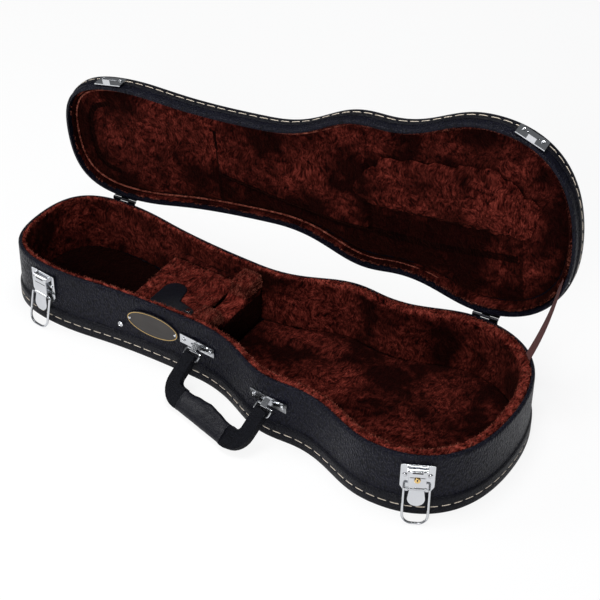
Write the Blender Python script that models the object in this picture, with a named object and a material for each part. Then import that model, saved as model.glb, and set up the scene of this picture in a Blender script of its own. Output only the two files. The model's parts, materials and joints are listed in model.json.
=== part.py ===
"""Shaped hard case for a concert ukulele, standing open on its flat bottom.

Metres, +Z up. The origin is the middle of the tray's bottom face, +X points to
the wide tail end and -Y to the side with the handle and the latches.
"""

import math

import bmesh
import bpy
from mathutils import Matrix, Vector

for old in list(bpy.data.objects):
    bpy.data.objects.remove(old, do_unlink=True)

# Every size below is in millimetres and every solid is scaled as it is made.
MM = 0.001

# Clearance between pieces that touch, and between pieces that turn in each other.
GAP = 0.3

# Outline of the rim, seen from above: widths, and places as shares of the length from the nose.
CASE_LENGTH = 650.0
HEAD_WIDTH = 158.6
NECK_WIDTH = 132.6
UPPER_BOUT_WIDTH = 199.0
WAIST_WIDTH = 195.4
LOWER_BOUT_WIDTH = 248.0
HEAD_SHARE = 0.1385
NECK_SHARE = 0.4315
UPPER_BOUT_SHARE = 0.6246
WAIST_SHARE = 0.6738
LOWER_BOUT_SHARE = 0.8389

# Shell: heights above the table, and thicknesses.
TRAY_HEIGHT = 80.0
LID_HEIGHT = 24.7
RIM_GAP = 0.6
WALL_THICKNESS = 4.2
WALL_DRAFT = 1.0
FLOOR_THICKNESS = 5.0
LID_PANEL_THICKNESS = 3.7
LID_CROWN = 1.2
TRAY_BAND_HEIGHT = 24.0
TRAY_BAND_THICKNESS = 2.0
LID_BAND_HEIGHT = 13.4
LID_BAND_THICKNESS = 1.2
PANEL_CROWN_RUN = 32.0

# Plush padding inside the shell.
HEAD_PADDING = 4.8
BODY_PADDING = 12.0
PADDING_THIN_SHARE = 0.3923
PADDING_FULL_SHARE = 0.7308
PADDING_PROUD = 1.5
HEAD_FLOOR_PADDING = 3.0
BODY_FLOOR_PADDING = 4.0
FLOOR_CROWN = 4.5
FLOOR_CROWN_RUN = 22.0
LID_RECESS = 4.3
LID_PADDING_SHARE = 0.6
ROOF_PADDING = 3.5
ROOF_CROWN = 3.5
ROOF_CROWN_RUN = 26.0
LID_PAD_THICKNESS = 4.5
LID_PAD_EDGE = 1.2

# Neck cradle and the accessory compartment beside it. A depth is measured down from the tray's rim.
CRADLE_SHARE = 0.4077
CRADLE_THICKNESS = 27.0
CRADLE_DEPTH = 3.0
CRADLE_EDGE_RADIUS = 6.0
CRADLE_SOFT_EDGE = 2.5
NOTCH_WIDTH = 54.0
NOTCH_DEPTH = 23.0
NOTCH_ROUND_SHARE = 0.62
NOTCH_MOUTH_RADIUS = 7.0
COMPARTMENT_LENGTH = 97.0
PARTITION_THICKNESS = 6.0
PARTITION_DEPTH = 30.3
COMPARTMENT_LID_THICKNESS = 6.0
COMPARTMENT_LID_CROWN = 1.5
COMPARTMENT_LID_CROWN_RUN = 6.0
COMPARTMENT_LID_OVERLAP = 5.0
COMPARTMENT_LID_CLEARANCE = 2.0
COMPARTMENT_SHELF_WIDTH = 6.0
PULL_TAB_THICKNESS = 1.8
PULL_TAB_SHIFT = -5.0
PULL_TAB_Y = -22.0
PULL_TAB_DOME_RADIUS = 15.0
PULL_TAB_LENGTH = 28.0
PULL_TAB_STEP = 3.0
PULL_TAB_TAIL_LENGTH = 36.0
PULL_TAB_TAIL_WIDTH = 13.0
SNAP_RADIUS = 3.2
SNAP_HEIGHT = 1.6

# Lid hinges on the back: butt hinges with rolled knuckles.
LID_OPEN_ANGLE = 88.7
HINGE_HEAD_SHARE = 0.1077
HINGE_TAIL_SHARE = 0.8415
HINGE_LENGTH = 31.0
HINGE_LEAF_HEIGHT = 16.0
HINGE_LID_LEAF_HEIGHT = 10.8
HINGE_LEAF_THICKNESS = 0.8
HINGE_PIN_RADIUS = 0.6
HINGE_MIDDLE_KNUCKLE = 10.0

# Handle on the front: brackets, rings, strap and grip.
HANDLE_SHARE = 0.5315
BRACKET_SPACING = 117.0
BRACKET_LENGTH = 49.0
BRACKET_WIDTH = 12.0
BRACKET_DEPTH = 28.0
BRACKET_THICKNESS = 1.2
BRACKET_SCREW_INSET = 5.5
HANDLE_AXIS_DEPTH = 32.0
HANDLE_STAND_OFF = 6.5
LUG_LENGTH = 8.0
LUG_RADIUS = 3.1
LUG_FOOT_INSET = 2.0
FOOT_SINK = 0.7
RING_WIRE_RADIUS = 1.2
RING_DROP = 9.0
RING_CORNER_RADIUS = 2.4
ARM_WIDTH = 16.5
ARM_TOP_DROP = 4.6
STRAP_THICKNESS = 8.5
HANDLE_DROP = 64.0
HANDLE_CORNER_RADIUS = 27.0
HOLE_DROP = 39.0
HOLE_CORNER_RADIUS = 6.0
GRIP_LENGTH = 76.0
GRIP_SWELL = 4.5
GRIP_SIDE_SWELL = 0.8
GRIP_POWER = 2.6
GRIP_SIDES = 16
GRIP_LOW_PROUD = 0.5
GRIP_THICKNESS = 12.4
GRIP_WALL = 5.0

# Draw latches on the front.
LATCH_HEAD_SHARE = 0.1123
LATCH_TAIL_SHARE = 0.9169
LATCH_WIDTH = 36.0
LATCH_DEPTH = 8.5
LATCH_HEIGHT = 38.0
LATCH_PLATE_THICKNESS = 1.2
LATCH_CHAMFER = 1.0
LATCH_CORNER_WIDTH = 4.5
LATCH_CORNER_HEIGHT = 8.0
LEVER_WIDTH = 18.5
LEVER_SHEET = 1.3
LEVER_PIVOT_DEPTH = 14.5
LEVER_PIVOT_OUT = 4.0
LEVER_KNUCKLE_RADIUS = 2.5
LEVER_PIN_RADIUS = 1.0
LEVER_NECK_WIDTH = 14.8
LEVER_NECK_DEPTH = 35.5
LEVER_NECK_STEP = 0.5
LEVER_TIP_DEPTH = 59.5
LEVER_TIP_OUT = 8.0
EAR_THICKNESS = 1.2
EAR_MARGIN = 0.6
BAIL_PIVOT_DEPTH = 37.7
BAIL_PIVOT_OUT = 5.9
BAIL_BOSS_RADIUS = 2.0
BAIL_WIRE_RADIUS = 1.4
BAIL_WIDTH = 27.0
BAIL_CORNER_RADIUS = 10.0
BAIL_BEND_RADIUS = 1.8
LOCK_DEPTH = 25.0
LOCK_RADIUS = 3.2
LOCK_PROUD = 1.6
LOCK_CAM_LENGTH = 6.0
LOCK_CAM_WIDTH = 3.0
LOCK_KEEPER_WIDTH = 4.2
LOCK_KEEPER_HEIGHT = 5.0
LOCK_KEEPER_SHEET = 1.3
LOCK_CAM_THICKNESS = 1.2

# Catch plates on the lid, above the latches.
CATCH_WIDTH = 36.0
CATCH_HEIGHT = 17.0
CATCH_RISE = 0.7
CATCH_THICKNESS = 1.2
HOOK_WIDTH = 10.0
HOOK_THICKNESS = 1.0
HOOK_LIP_RISE = 1.8
HOOK_SET_UP = 0.01
CATCH_SCREW_INSET = 6.0
CATCH_SCREW_DROP = 5.5
SCREW_HEAD_RADIUS = 2.4
SCREW_HEAD_HEIGHT = 1.0
RIVET_INSET = 4.7
RIVET_DEPTH = 23.0

# Badge, keeper stud and stay ribbon.
BADGE_TO_BRACKET = 3.5
BADGE_DEPTH = 28.5
BADGE_LENGTH = 70.0
BADGE_HEIGHT = 32.0
BADGE_THICKNESS = 1.0
BADGE_PIN_RADIUS = 1.7
BADGE_PIN_INSET = 3.6
BADGE_PIN_HEIGHT = 0.8
STUD_TO_BADGE = 10.0
STUD_DEPTH = 44.0
STUD_RADIUS = 3.5
STUD_HEIGHT = 2.2
RIBBON_WIDTH = 12.0
RIBBON_THICKNESS = 1.0
RIBBON_TRAY_Y = 88.0
RIBBON_LID_Y = 58.0
RIBBON_SAG = 3.0
RIBBON_INSET = 2.6
RIBBON_LID_TUCK = 1.5
RIBBON_STEPS = 8

# Outline pieces: share of each stretch taken by the curve handle at its two ends, and its points.
NOSE_FULLNESS = 0.66
HEAD_ROUND = 0.78
TAIL_FULLNESS = 0.83
TAIL_ROUND = 0.43
STRETCHES = (
    # from, to, first share, last share, points
    ("head", "neck", 0.27, 0.67, 7),
    ("neck", "upper bout", 0.52, 0.36, 6),
    ("upper bout", "waist", 0.38, 0.35, 2),
    ("waist", "lower bout", 0.42, 0.38, 5),
)
NOSE_POINTS = 9
TAIL_POINTS = 10

# Edge shapes. Each pair is a share inwards from the outer face and a share down from the top.
RIM_ROLL = ((0.0, 1.07), (0.07, 0.52), (0.29, 0.14), (0.57, 0.0))
BAND_EDGE = ((0.0, 0.8), (0.3, 0.2), (0.7, 0.0))
PADDING_EDGE = ((0.0, 0.1), (0.15, 0.03), (0.45, 0.0), (0.8, 0.16), (1.0, 0.5))
LID_PADDING_EDGE = ((0.0, 0.3), (0.3, 0.0), (0.7, 0.2), (1.0, 0.8))
# A crown's sections: share of its run, share of its rise.
CROWN_STEPS = ((0.15, 0.4), (0.48, 0.8), (1.0, 1.0))
# Low round heads: share of the radius, share of the height.
SCREW_RINGS = ((1.0, 0.0), (1.0, 0.45), (0.55, 1.0))
STUD_RINGS = ((1.0, 0.0), (1.0, 0.35), (0.75, 0.8), (0.35, 1.0))
# The lid's raised cushion: corners as a share of the length from the nose, a share of the lower
# bout's width from the middle line, and that share for the corner's radius, then its sections.
LID_PAD_CORNERS = (
    (0.6015, -0.0161, 0.0565),
    (0.6538, -0.129, 0.0887),
    (0.8508, -0.2097, 0.0645),
    (0.9123, -0.0806, 0.0726),
    (0.9031, 0.0161, 0.0645),
    (0.6385, 0.0323, 0.0403),
)
LID_PAD_MIDDLE = (0.7615, -0.0806)
LID_PAD_STEPS = ((0.97, 0.45), (0.88, 0.75), (0.7, 0.93), (0.45, 1.0))

SMOOTH_ANGLE = 40.0
SHARP_ANGLE = 50.0
SEAT_SAMPLES = 10
SEAT_REACH_SHARE = 1.02

NOSE_X = -CASE_LENGTH / 2
TAIL_X = CASE_LENGTH / 2


def along_case(share):
    """X at a share of the length from the nose."""
    return NOSE_X + CASE_LENGTH * share


STATION = {
    "head": (along_case(HEAD_SHARE), HEAD_WIDTH / 2),
    "neck": (along_case(NECK_SHARE), NECK_WIDTH / 2),
    "upper bout": (along_case(UPPER_BOUT_SHARE), UPPER_BOUT_WIDTH / 2),
    "waist": (along_case(WAIST_SHARE), WAIST_WIDTH / 2),
    "lower bout": (along_case(LOWER_BOUT_SHARE), LOWER_BOUT_WIDTH / 2),
}


def bezier(start, start_handle, end_handle, end, count):
    """Points along one cubic curve, with its end left to the next one."""
    points = []
    for step in range(count):
        t = step / count
        weights = ((1 - t) ** 3, 3 * t * (1 - t) ** 2, 3 * t * t * (1 - t), t**3)
        corners = (start, start_handle, end_handle, end)
        points.append(sum((Vector(c) * w for c, w in zip(corners, weights)), Vector((0, 0))))
    return points


def half_outline():
    """The rim from the nose to the tail on the +Y side, without the tail's own point."""
    head = STATION["head"]
    bout = STATION["lower bout"]
    points = bezier(
        (NOSE_X, 0),
        (NOSE_X, head[1] * NOSE_FULLNESS),
        (head[0] - (head[0] - NOSE_X) * HEAD_ROUND, head[1]),
        head,
        NOSE_POINTS,
    )
    for first, last, first_share, last_share, count in STRETCHES:
        a = STATION[first]
        b = STATION[last]
        run = b[0] - a[0]
        points += bezier(a, (a[0] + run * first_share, a[1]), (b[0] - run * last_share, b[1]), b, count)
    points += bezier(
        bout,
        (bout[0] + (TAIL_X - bout[0]) * TAIL_ROUND, bout[1]),
        (TAIL_X, bout[1] * TAIL_FULLNESS),
        (TAIL_X, 0),
        TAIL_POINTS,
    )
    return points


HALF = half_outline()
RIM = HALF + [Vector((TAIL_X, 0))] + [Vector((p.x, -p.y)) for p in reversed(HALF[1:])]
COUNT = len(RIM)


def rim_normal(index):
    """Outward direction at a point of the rim, which runs clockwise seen from above."""
    along = RIM[(index + 1) % COUNT] - RIM[index - 1]
    return Vector((-along.y, along.x)).normalized()


NORMALS = [rim_normal(i) for i in range(COUNT)]


def rim_point(index, offset):
    """A point of the rim moved outward by offset, which may be a function of x."""
    distance = offset(RIM[index].x) if callable(offset) else offset
    return RIM[index] + NORMALS[index] * distance


def rim_loop(offset):
    return [rim_point(i, offset) for i in range(COUNT)]


def front_y(x, offset=0.0):
    """Y of the front wall at x."""
    loop = rim_loop(offset)
    for a, b in zip(loop, loop[1:] + loop[:1]):
        if a.y < 0 and b.y <= 0 and min(a.x, b.x) <= x <= max(a.x, b.x) and a.x != b.x:
            return a.y + (b.y - a.y) * (x - a.x) / (b.x - a.x)
    return loop[-1].y


def draft_at(z):
    """How far the tray's wall stands outside the rim at a height."""
    return WALL_DRAFT * max(0.0, 1 - z / TRAY_HEIGHT)


def padding_at(x):
    """Thickness of the tray's wall padding: thin at the head, full round the lower bout."""
    thin_x = along_case(PADDING_THIN_SHARE)
    full_x = along_case(PADDING_FULL_SHARE)
    t = min(1.0, max(0.0, (x - thin_x) / (full_x - thin_x)))
    return HEAD_PADDING + (BODY_PADDING - HEAD_PADDING) * t * t * (3 - 2 * t)


def padding_face(x):
    """Offset of the wall padding's inner face."""
    return -WALL_THICKNESS - GAP - padding_at(x)


def lid_padding_face(x):
    return -WALL_THICKNESS - GAP - padding_at(x) * LID_PADDING_SHARE


def colour(name, rgb, roughness, metallic=0.0):
    material = bpy.data.materials.new(name)
    material.use_nodes = True
    shader = material.node_tree.nodes["Principled BSDF"]
    shader.inputs["Base Color"].default_value = (*rgb, 1.0)
    shader.inputs["Roughness"].default_value = roughness
    shader.inputs["Metallic"].default_value = metallic
    return material


LEATHERETTE = colour("leatherette", (0.022, 0.024, 0.032), 0.45)
BINDING = colour("binding", (0.016, 0.017, 0.022), 0.4)
PLUSH = colour("plush", (0.09, 0.017, 0.011), 0.95)
CHROME = colour("chrome", (0.82, 0.83, 0.85), 0.12, 1.0)
BLACK_STEEL = colour("black_steel", (0.03, 0.03, 0.034), 0.35, 1.0)
BRASS = colour("brass", (0.72, 0.5, 0.2), 0.25, 1.0)
HANDLE_PLASTIC = colour("handle_plastic", (0.028, 0.029, 0.036), 0.5)
TAB_LEATHER = colour("tab_leather", (0.02, 0.022, 0.028), 0.5)
BADGE_FACE = colour("badge_face", (0.06, 0.05, 0.045), 0.4)
RIBBON = colour("ribbon", (0.09, 0.026, 0.022), 0.8)


def finish(obj, material, holder):
    obj.data.materials.append(material)
    bpy.context.scene.collection.objects.link(obj)
    if holder:
        obj.parent = holder
        obj.matrix_parent_inverse = Matrix.Translation(-Vector(holder["drawn_at"]))
    return obj


def solid(name, shape, material, holder=None, smooth=False):
    """A closed mesh from points in millimetres and faces."""
    points, faces = shape
    mesh = bpy.data.meshes.new(name)
    mesh.from_pydata([tuple(Vector(p) * MM) for p in points], [], faces)
    work = bmesh.new()
    work.from_mesh(mesh)
    bmesh.ops.recalc_face_normals(work, faces=work.faces)
    work.to_mesh(mesh)
    work.free()
    if smooth:
        mesh.shade_smooth()
        mesh.set_sharp_from_angle(angle=math.radians(SMOOTH_ANGLE))
    return finish(bpy.data.objects.new(name, mesh), material, holder)


def wire(name, points, radius, material, holder=None, closed=False):
    """A round wire through points in millimetres."""
    curve = bpy.data.curves.new(name, "CURVE")
    curve.dimensions = "3D"
    curve.bevel_depth = radius * MM
    curve.bevel_resolution = 2
    curve.use_fill_caps = not closed
    spline = curve.splines.new("POLY")
    spline.points.add(len(points) - 1)
    for point, place in zip(spline.points, points):
        point.co = (*(Vector(place) * MM), 1.0)
    spline.use_cyclic_u = closed
    return finish(bpy.data.objects.new(name, curve), material, holder)


def shape_with(target, operation, name, shape):
    """Joins, cuts or trims a piece with a helper solid that isn't part of the case."""
    helper = solid("helper_" + name, shape, target.data.materials[0])
    helper.parent = target.parent
    helper.matrix_parent_inverse = target.matrix_parent_inverse
    helper.hide_render = True
    helper.display_type = "WIRE"
    modifier = target.modifiers.new(name, "BOOLEAN")
    modifier.operation = operation
    modifier.object = helper
    return target


def rounded(target, width, segments=2):
    """Rounds the sharp edges of a piece."""
    modifier = target.modifiers.new("rounded", "BEVEL")
    modifier.width = width * MM
    modifier.segments = segments
    modifier.limit_method = "ANGLE"
    modifier.angle_limit = math.radians(SHARP_ANGLE)
    return target


def holder(name, place, axis, degrees, parent=None):
    """An empty on a joint's axis, turned from the drawn position to the rest position."""
    empty = bpy.data.objects.new(name, None)
    bpy.context.scene.collection.objects.link(empty)
    spot = Vector(place) * MM
    if parent:
        empty.parent = parent
        empty.matrix_parent_inverse = Matrix.Translation(-Vector(parent["drawn_at"]))
    empty.location = spot
    empty.rotation_mode = "QUATERNION"
    empty.rotation_quaternion = Matrix.Rotation(math.radians(degrees), 4, Vector(axis)).to_quaternion()
    empty["drawn_at"] = spot
    return empty


def closed_loft(loops):
    """Points and faces of loops joined one to the next, with the last joined to the first."""
    size = len(loops[0])
    points = [p for loop in loops for p in loop]
    faces = []
    for i in range(len(loops)):
        j = (i + 1) % len(loops)
        for k in range(size):
            m = (k + 1) % size
            faces.append((i * size + k, i * size + m, j * size + m, j * size + k))
    return points, faces


def capped_loft(loops):
    """Points and faces of loops joined one to the next, with a flat cap on both ends."""
    size = len(loops[0])
    points, faces = closed_loft(loops)
    faces = faces[: (len(loops) - 1) * size]
    faces.append(tuple(reversed(range(size))))
    faces.append(tuple(range(size * (len(loops) - 1), size * len(loops))))
    return points, faces


def prism(outline, low, high, frame=None):
    """An outline in the frame's XY plane, extruded along its Z."""
    place = frame or Matrix.Identity(4)
    loops = [[place @ Vector((p[0], p[1], z)) for p in outline] for z in (low, high)]
    return capped_loft(loops)


def block(low, high, frame=None):
    corners = [(low[0], low[1]), (high[0], low[1]), (high[0], high[1]), (low[0], high[1])]
    return prism(corners, low[2], high[2], frame)


def arc(centre, radius, start, end, count):
    """Points on a circle from one angle to another, in degrees."""
    points = []
    for step in range(count + 1):
        angle = math.radians(start + (end - start) * step / count)
        points.append((centre[0] + radius * math.cos(angle), centre[1] + radius * math.sin(angle)))
    return points


def circle(radius, centre=(0.0, 0.0), sides=16):
    return arc(centre, radius, 0, 360, sides)[:-1]


def ring_shell(profile_at):
    """A wall that follows the rim. profile_at gives its section as offsets and heights at x."""
    loops = []
    for i in range(COUNT):
        loops.append([(*rim_point(i, offset), z) for offset, z in profile_at(RIM[i].x)])
    return closed_loft(loops)


def clipped_loop(offset, low_x, high_x):
    """The rim loop at an offset, cut straight across at low_x and at high_x."""
    loop = []
    ring = rim_loop(offset)
    for a, b in zip(ring, ring[1:] + ring[:1]):
        if low_x < a.x < high_x:
            loop.append(a.copy())
        crossed = [limit for limit in (low_x, high_x) if (a.x - limit) * (b.x - limit) < 0]
        for limit in sorted(crossed, reverse=b.x < a.x):
            loop.append(a.lerp(b, (limit - a.x) / (b.x - a.x)))
    return loop


def seat_frame(x, half_length, base_offset, wall_offset):
    """A frame flat against the front wall: X along it, Y up from the table, Z outward.

    Its origin is far enough out for a plate of that half length to clear the wall."""
    left = Vector((x - half_length, front_y(x - half_length, base_offset)))
    right = Vector((x + half_length, front_y(x + half_length, base_offset)))
    along = (right - left).normalized()
    out = Vector((along.y, -along.x))
    middle = Vector((x, front_y(x, base_offset)))
    high = 0.0
    for step in range(-SEAT_SAMPLES, SEAT_SAMPLES + 1):
        near_x = x + half_length * step / SEAT_SAMPLES * SEAT_REACH_SHARE
        near = Vector((near_x, front_y(near_x, wall_offset)))
        high = max(high, (near - middle).dot(out))
    for point in rim_loop(wall_offset):
        if point.y < 0 and abs((point - middle).dot(along)) < half_length:
            high = max(high, (point - middle).dot(out))
    origin = middle + out * (high + GAP)
    return Matrix(
        (
            (along.x, 0, out.x, origin.x),
            (along.y, 0, out.y, origin.y),
            (0, 1, 0, 0),
            (0, 0, 0, 1),
        )
    )


def side_frame(frame, shift=0.0):
    """The frame turned to a side view: X up from the table, Y outward, Z along the wall."""
    turn = Matrix(((0, 0, 1, shift), (1, 0, 0, 0), (0, 1, 0, 0), (0, 0, 0, 1)))
    return frame @ turn


def crowned(low, edge, run, rise):
    """Insets and heights of a cushion's sections: a straight side, then a crown."""
    crown = [(run * inset, edge + rise * share) for inset, share in CROWN_STEPS]
    return [(0.0, low), (0.0, edge)] + crown


# Tray shell
WALL_INNER = -WALL_THICKNESS


def rolled_rim(rim_z, up, outer_at):
    """A wall's round edge from its outer face to the rim. up is 1 for the tray's and -1 for the lid's."""
    points = []
    for inward, down in RIM_ROLL:
        z = rim_z - up * down * WALL_THICKNESS
        points.append((outer_at(z) - inward * WALL_THICKNESS, z))
    return points


def tray_wall_profile(x):
    edge = rolled_rim(TRAY_HEIGHT, 1, draft_at)
    return [(WALL_INNER, 0.0), (WALL_DRAFT, 0.0)] + edge + [(WALL_INNER, TRAY_HEIGHT)]


def tray_band_profile(x):
    inner_low = WALL_DRAFT + GAP
    inner_high = draft_at(TRAY_BAND_HEIGHT) + GAP
    outer = inner_low + TRAY_BAND_THICKNESS
    edge = [
        (outer - inward * TRAY_BAND_THICKNESS, TRAY_BAND_HEIGHT - down * TRAY_BAND_THICKNESS)
        for inward, down in BAND_EDGE
    ]
    return [(inner_low, 0.0), (outer, 0.0)] + edge + [(inner_high, TRAY_BAND_HEIGHT)]


def tray_padding_profile(x):
    outer = WALL_INNER - GAP
    inner = padding_face(x)
    top = TRAY_HEIGHT + PADDING_PROUD
    thick = outer - inner
    low = FLOOR_THICKNESS + GAP
    edge = [(outer - inward * thick, top - down * thick) for inward, down in PADDING_EDGE]
    return [(outer, low)] + edge + [(inner, low)]


solid("tray_wall", ring_shell(tray_wall_profile), LEATHERETTE, smooth=True)
solid("tray_floor", prism(rim_loop(WALL_INNER - GAP), 0.0, FLOOR_THICKNESS), LEATHERETTE)
solid("tray_band", ring_shell(tray_band_profile), BINDING, smooth=True)
solid("tray_wall_padding", ring_shell(tray_padding_profile), PLUSH, smooth=True)

# Floor padding, partition and neck cradle
FLOOR_TOP = FLOOR_THICKNESS + GAP
HEAD_FLOOR_TOP = FLOOR_TOP + HEAD_FLOOR_PADDING
CRADLE_LOW_X = along_case(CRADLE_SHARE)
CRADLE_HIGH_X = CRADLE_LOW_X + CRADLE_THICKNESS


def beside_padding(extra):
    """Offset of a line that far inside the wall padding's face."""
    return lambda x: padding_face(x) - extra


def head_floor():
    outline = clipped_loop(beside_padding(GAP), NOSE_X, CRADLE_HIGH_X + GAP)
    return prism(outline, FLOOR_TOP, HEAD_FLOOR_TOP)


FLOOR_END_STEP = 1.0


def body_floor():
    """A cushion with a rounded edge and a crown, from the cradle to the tail."""
    low_x = CRADLE_HIGH_X + 2 * GAP
    edge = FLOOR_TOP + BODY_FLOOR_PADDING
    kept = [i for i in range(COUNT) if RIM[i].x > low_x + 2 * FLOOR_END_STEP]
    first = next(i for i in kept if (i - 1) % COUNT not in kept)
    kept = [(first + k) % COUNT for k in range(len(kept))]
    loops = []
    for inset, z in crowned(FLOOR_TOP, edge, FLOOR_CROWN_RUN, FLOOR_CROWN):
        start_x = low_x + inset
        loop = [rim_point(i, beside_padding(GAP + inset)) for i in kept]
        loop = [(max(p.x, start_x + FLOOR_END_STEP), p.y) for p in loop]
        start_y = -front_y(start_x, beside_padding(GAP + inset))
        ends = [(start_x, -start_y), (start_x, start_y)]
        loops.append([(*p, z) for p in loop + ends])
    return capped_loft(loops)


def least_half_width(low_x, high_x, inset):
    """Half the clear width between the wall paddings over a stretch."""
    loop = rim_loop(beside_padding(inset))
    ends = [-front_y(x, beside_padding(inset)) for x in (low_x, high_x)]
    return min([p.y for p in loop if low_x < p.x < high_x and p.y > 0] + ends)


def cradle():
    """A padded block with a round notch for the neck."""
    half = least_half_width(CRADLE_LOW_X, CRADLE_HIGH_X, GAP)
    low = HEAD_FLOOR_TOP + GAP
    top = TRAY_HEIGHT - CRADLE_DEPTH
    notch = NOTCH_WIDTH / 2
    notch_floor = TRAY_HEIGHT - NOTCH_DEPTH
    round_radius = notch * NOTCH_ROUND_SHARE
    edge = CRADLE_EDGE_RADIUS
    mouth = NOTCH_MOUTH_RADIUS
    right = [(half, low)] + arc((half - edge, top - edge), edge, 0, 90, 3)
    right += arc((notch + mouth, top - mouth), mouth, 90, 180, 3)
    right += arc((notch - round_radius, notch_floor + round_radius), round_radius, 0, -90, 6)
    left = [(-y, z) for y, z in reversed(right)]
    across = Matrix(((0, 0, 1, 0), (1, 0, 0, 0), (0, 1, 0, 0), (0, 0, 0, 1)))
    return prism(right + left, CRADLE_LOW_X, CRADLE_HIGH_X, across)


PARTITION_HIGH_X = CRADLE_LOW_X - COMPARTMENT_LENGTH + PARTITION_THICKNESS
PARTITION_LOW_X = PARTITION_HIGH_X - PARTITION_THICKNESS
PARTITION_TOP = TRAY_HEIGHT - PARTITION_DEPTH


def partition():
    outline = clipped_loop(beside_padding(GAP), PARTITION_LOW_X, PARTITION_HIGH_X)
    return prism(outline, HEAD_FLOOR_TOP + GAP, PARTITION_TOP)


solid("head_floor_padding", head_floor(), PLUSH)
solid("body_floor_padding", body_floor(), PLUSH, smooth=True)
rounded(solid("neck_cradle", cradle(), PLUSH), CRADLE_SOFT_EDGE)
solid("compartment_partition", partition(), PLUSH)

# Compartment lid, the shelf that it hinges on, its pull tab and snap
COMPARTMENT_LID_LOW_Z = PARTITION_TOP + GAP
COMPARTMENT_LID_HIGH_Z = COMPARTMENT_LID_LOW_Z + COMPARTMENT_LID_THICKNESS
COMPARTMENT_LID_LOW_X = PARTITION_HIGH_X - COMPARTMENT_LID_OVERLAP
COMPARTMENT_LID_HIGH_X = CRADLE_LOW_X - COMPARTMENT_LID_CLEARANCE
COMPARTMENT_MIDDLE_X = (COMPARTMENT_LID_LOW_X + COMPARTMENT_LID_HIGH_X) / 2
CLEAR_HALF_WIDTH = least_half_width(COMPARTMENT_LID_LOW_X, COMPARTMENT_LID_HIGH_X, GAP)
SHELF_Y = CLEAR_HALF_WIDTH - COMPARTMENT_SHELF_WIDTH
COMPARTMENT_AXIS = (COMPARTMENT_MIDDLE_X, SHELF_Y, COMPARTMENT_LID_HIGH_Z)


def compartment_outline():
    """The lid's outline: the front follows the wall padding and the back is straight."""
    side = beside_padding(COMPARTMENT_LID_CLEARANCE)
    loop = clipped_loop(side, COMPARTMENT_LID_LOW_X, COMPARTMENT_LID_HIGH_X)
    return [(p.x, min(p.y, SHELF_Y - GAP)) for p in loop]


def compartment_lid():
    """A padded board with a rounded edge and a low crown."""
    edge = COMPARTMENT_LID_HIGH_Z - COMPARTMENT_LID_CROWN
    outline = compartment_outline()
    centre_x = COMPARTMENT_MIDDLE_X
    half_x = (COMPARTMENT_LID_HIGH_X - COMPARTMENT_LID_LOW_X) / 2
    half_y = max(abs(y) for _, y in outline)
    loops = []
    steps = crowned(COMPARTMENT_LID_LOW_Z, edge, COMPARTMENT_LID_CROWN_RUN, COMPARTMENT_LID_CROWN)
    for inset, z in steps:
        scale_x = (half_x - inset) / half_x
        scale_y = (half_y - inset) / half_y
        loops.append([(centre_x + (x - centre_x) * scale_x, y * scale_y, z) for x, y in outline])
    return capped_loft(loops)


def shelf():
    """The strip of the back wall's padding that carries the compartment lid."""
    loop = clipped_loop(beside_padding(GAP), COMPARTMENT_LID_LOW_X, COMPARTMENT_LID_HIGH_X)
    back = [p for p in loop if p.y > 0]
    back.sort(key=lambda p: p.x)
    outline = [(back[-1].x, SHELF_Y), (back[0].x, SHELF_Y)] + [(p.x, p.y) for p in back]
    return prism(outline, COMPARTMENT_LID_LOW_Z, COMPARTMENT_LID_HIGH_Z)


TAB_LOW_Z = COMPARTMENT_LID_HIGH_Z + GAP
TAB_X = COMPARTMENT_MIDDLE_X + PULL_TAB_SHIFT
TAB_END = (TAB_X + PULL_TAB_TAIL_LENGTH, PULL_TAB_Y - PULL_TAB_STEP - PULL_TAB_TAIL_WIDTH / 2)


def pull_tab():
    """A leather tongue with a domed end and a tail that the snap holds."""
    dome = PULL_TAB_DOME_RADIUS
    tail = PULL_TAB_TAIL_WIDTH
    outline = arc((TAB_X, PULL_TAB_Y + PULL_TAB_LENGTH - dome), dome, 180, 0, 10)
    outline += [(TAB_X + dome + PULL_TAB_STEP, PULL_TAB_Y)]
    outline += arc(TAB_END, tail / 2, 80, -90, 6)
    left = TAB_X - dome
    outline += [(left, PULL_TAB_Y - PULL_TAB_STEP - tail), (left, PULL_TAB_Y - 2 * PULL_TAB_STEP)]
    return prism(outline, TAB_LOW_Z, TAB_LOW_Z + PULL_TAB_THICKNESS)


def snap():
    place = Matrix.Translation((*TAB_END, TAB_LOW_Z + PULL_TAB_THICKNESS + GAP))
    return prism(circle(SNAP_RADIUS), 0, SNAP_HEIGHT, place)


compartment_holder = holder("compartment_lid_axis", COMPARTMENT_AXIS, (1, 0, 0), 0)
solid("compartment_lid", compartment_lid(), PLUSH, compartment_holder, smooth=True)
solid("compartment_shelf", shelf(), PLUSH)
solid("pull_tab", pull_tab(), TAB_LEATHER, compartment_holder)
solid("pull_tab_snap", snap(), CHROME, compartment_holder, smooth=True)


# Lid hinge axis: parallel to the line that touches the head bulge and the lower bout on the back
def back_tangent():
    """Slope and height of the straight line that rests on both bulges of the back."""
    back = [p for p in RIM if p.y > 0]
    split = STATION["neck"][0]
    low, high = -1.0, 1.0
    for _ in range(50):
        slope = (low + high) / 2
        head = max(p.y - slope * p.x for p in back if p.x < split)
        body = max(p.y - slope * p.x for p in back if p.x >= split)
        if body > head:
            low = slope
        else:
            high = slope
    return slope, head


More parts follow.
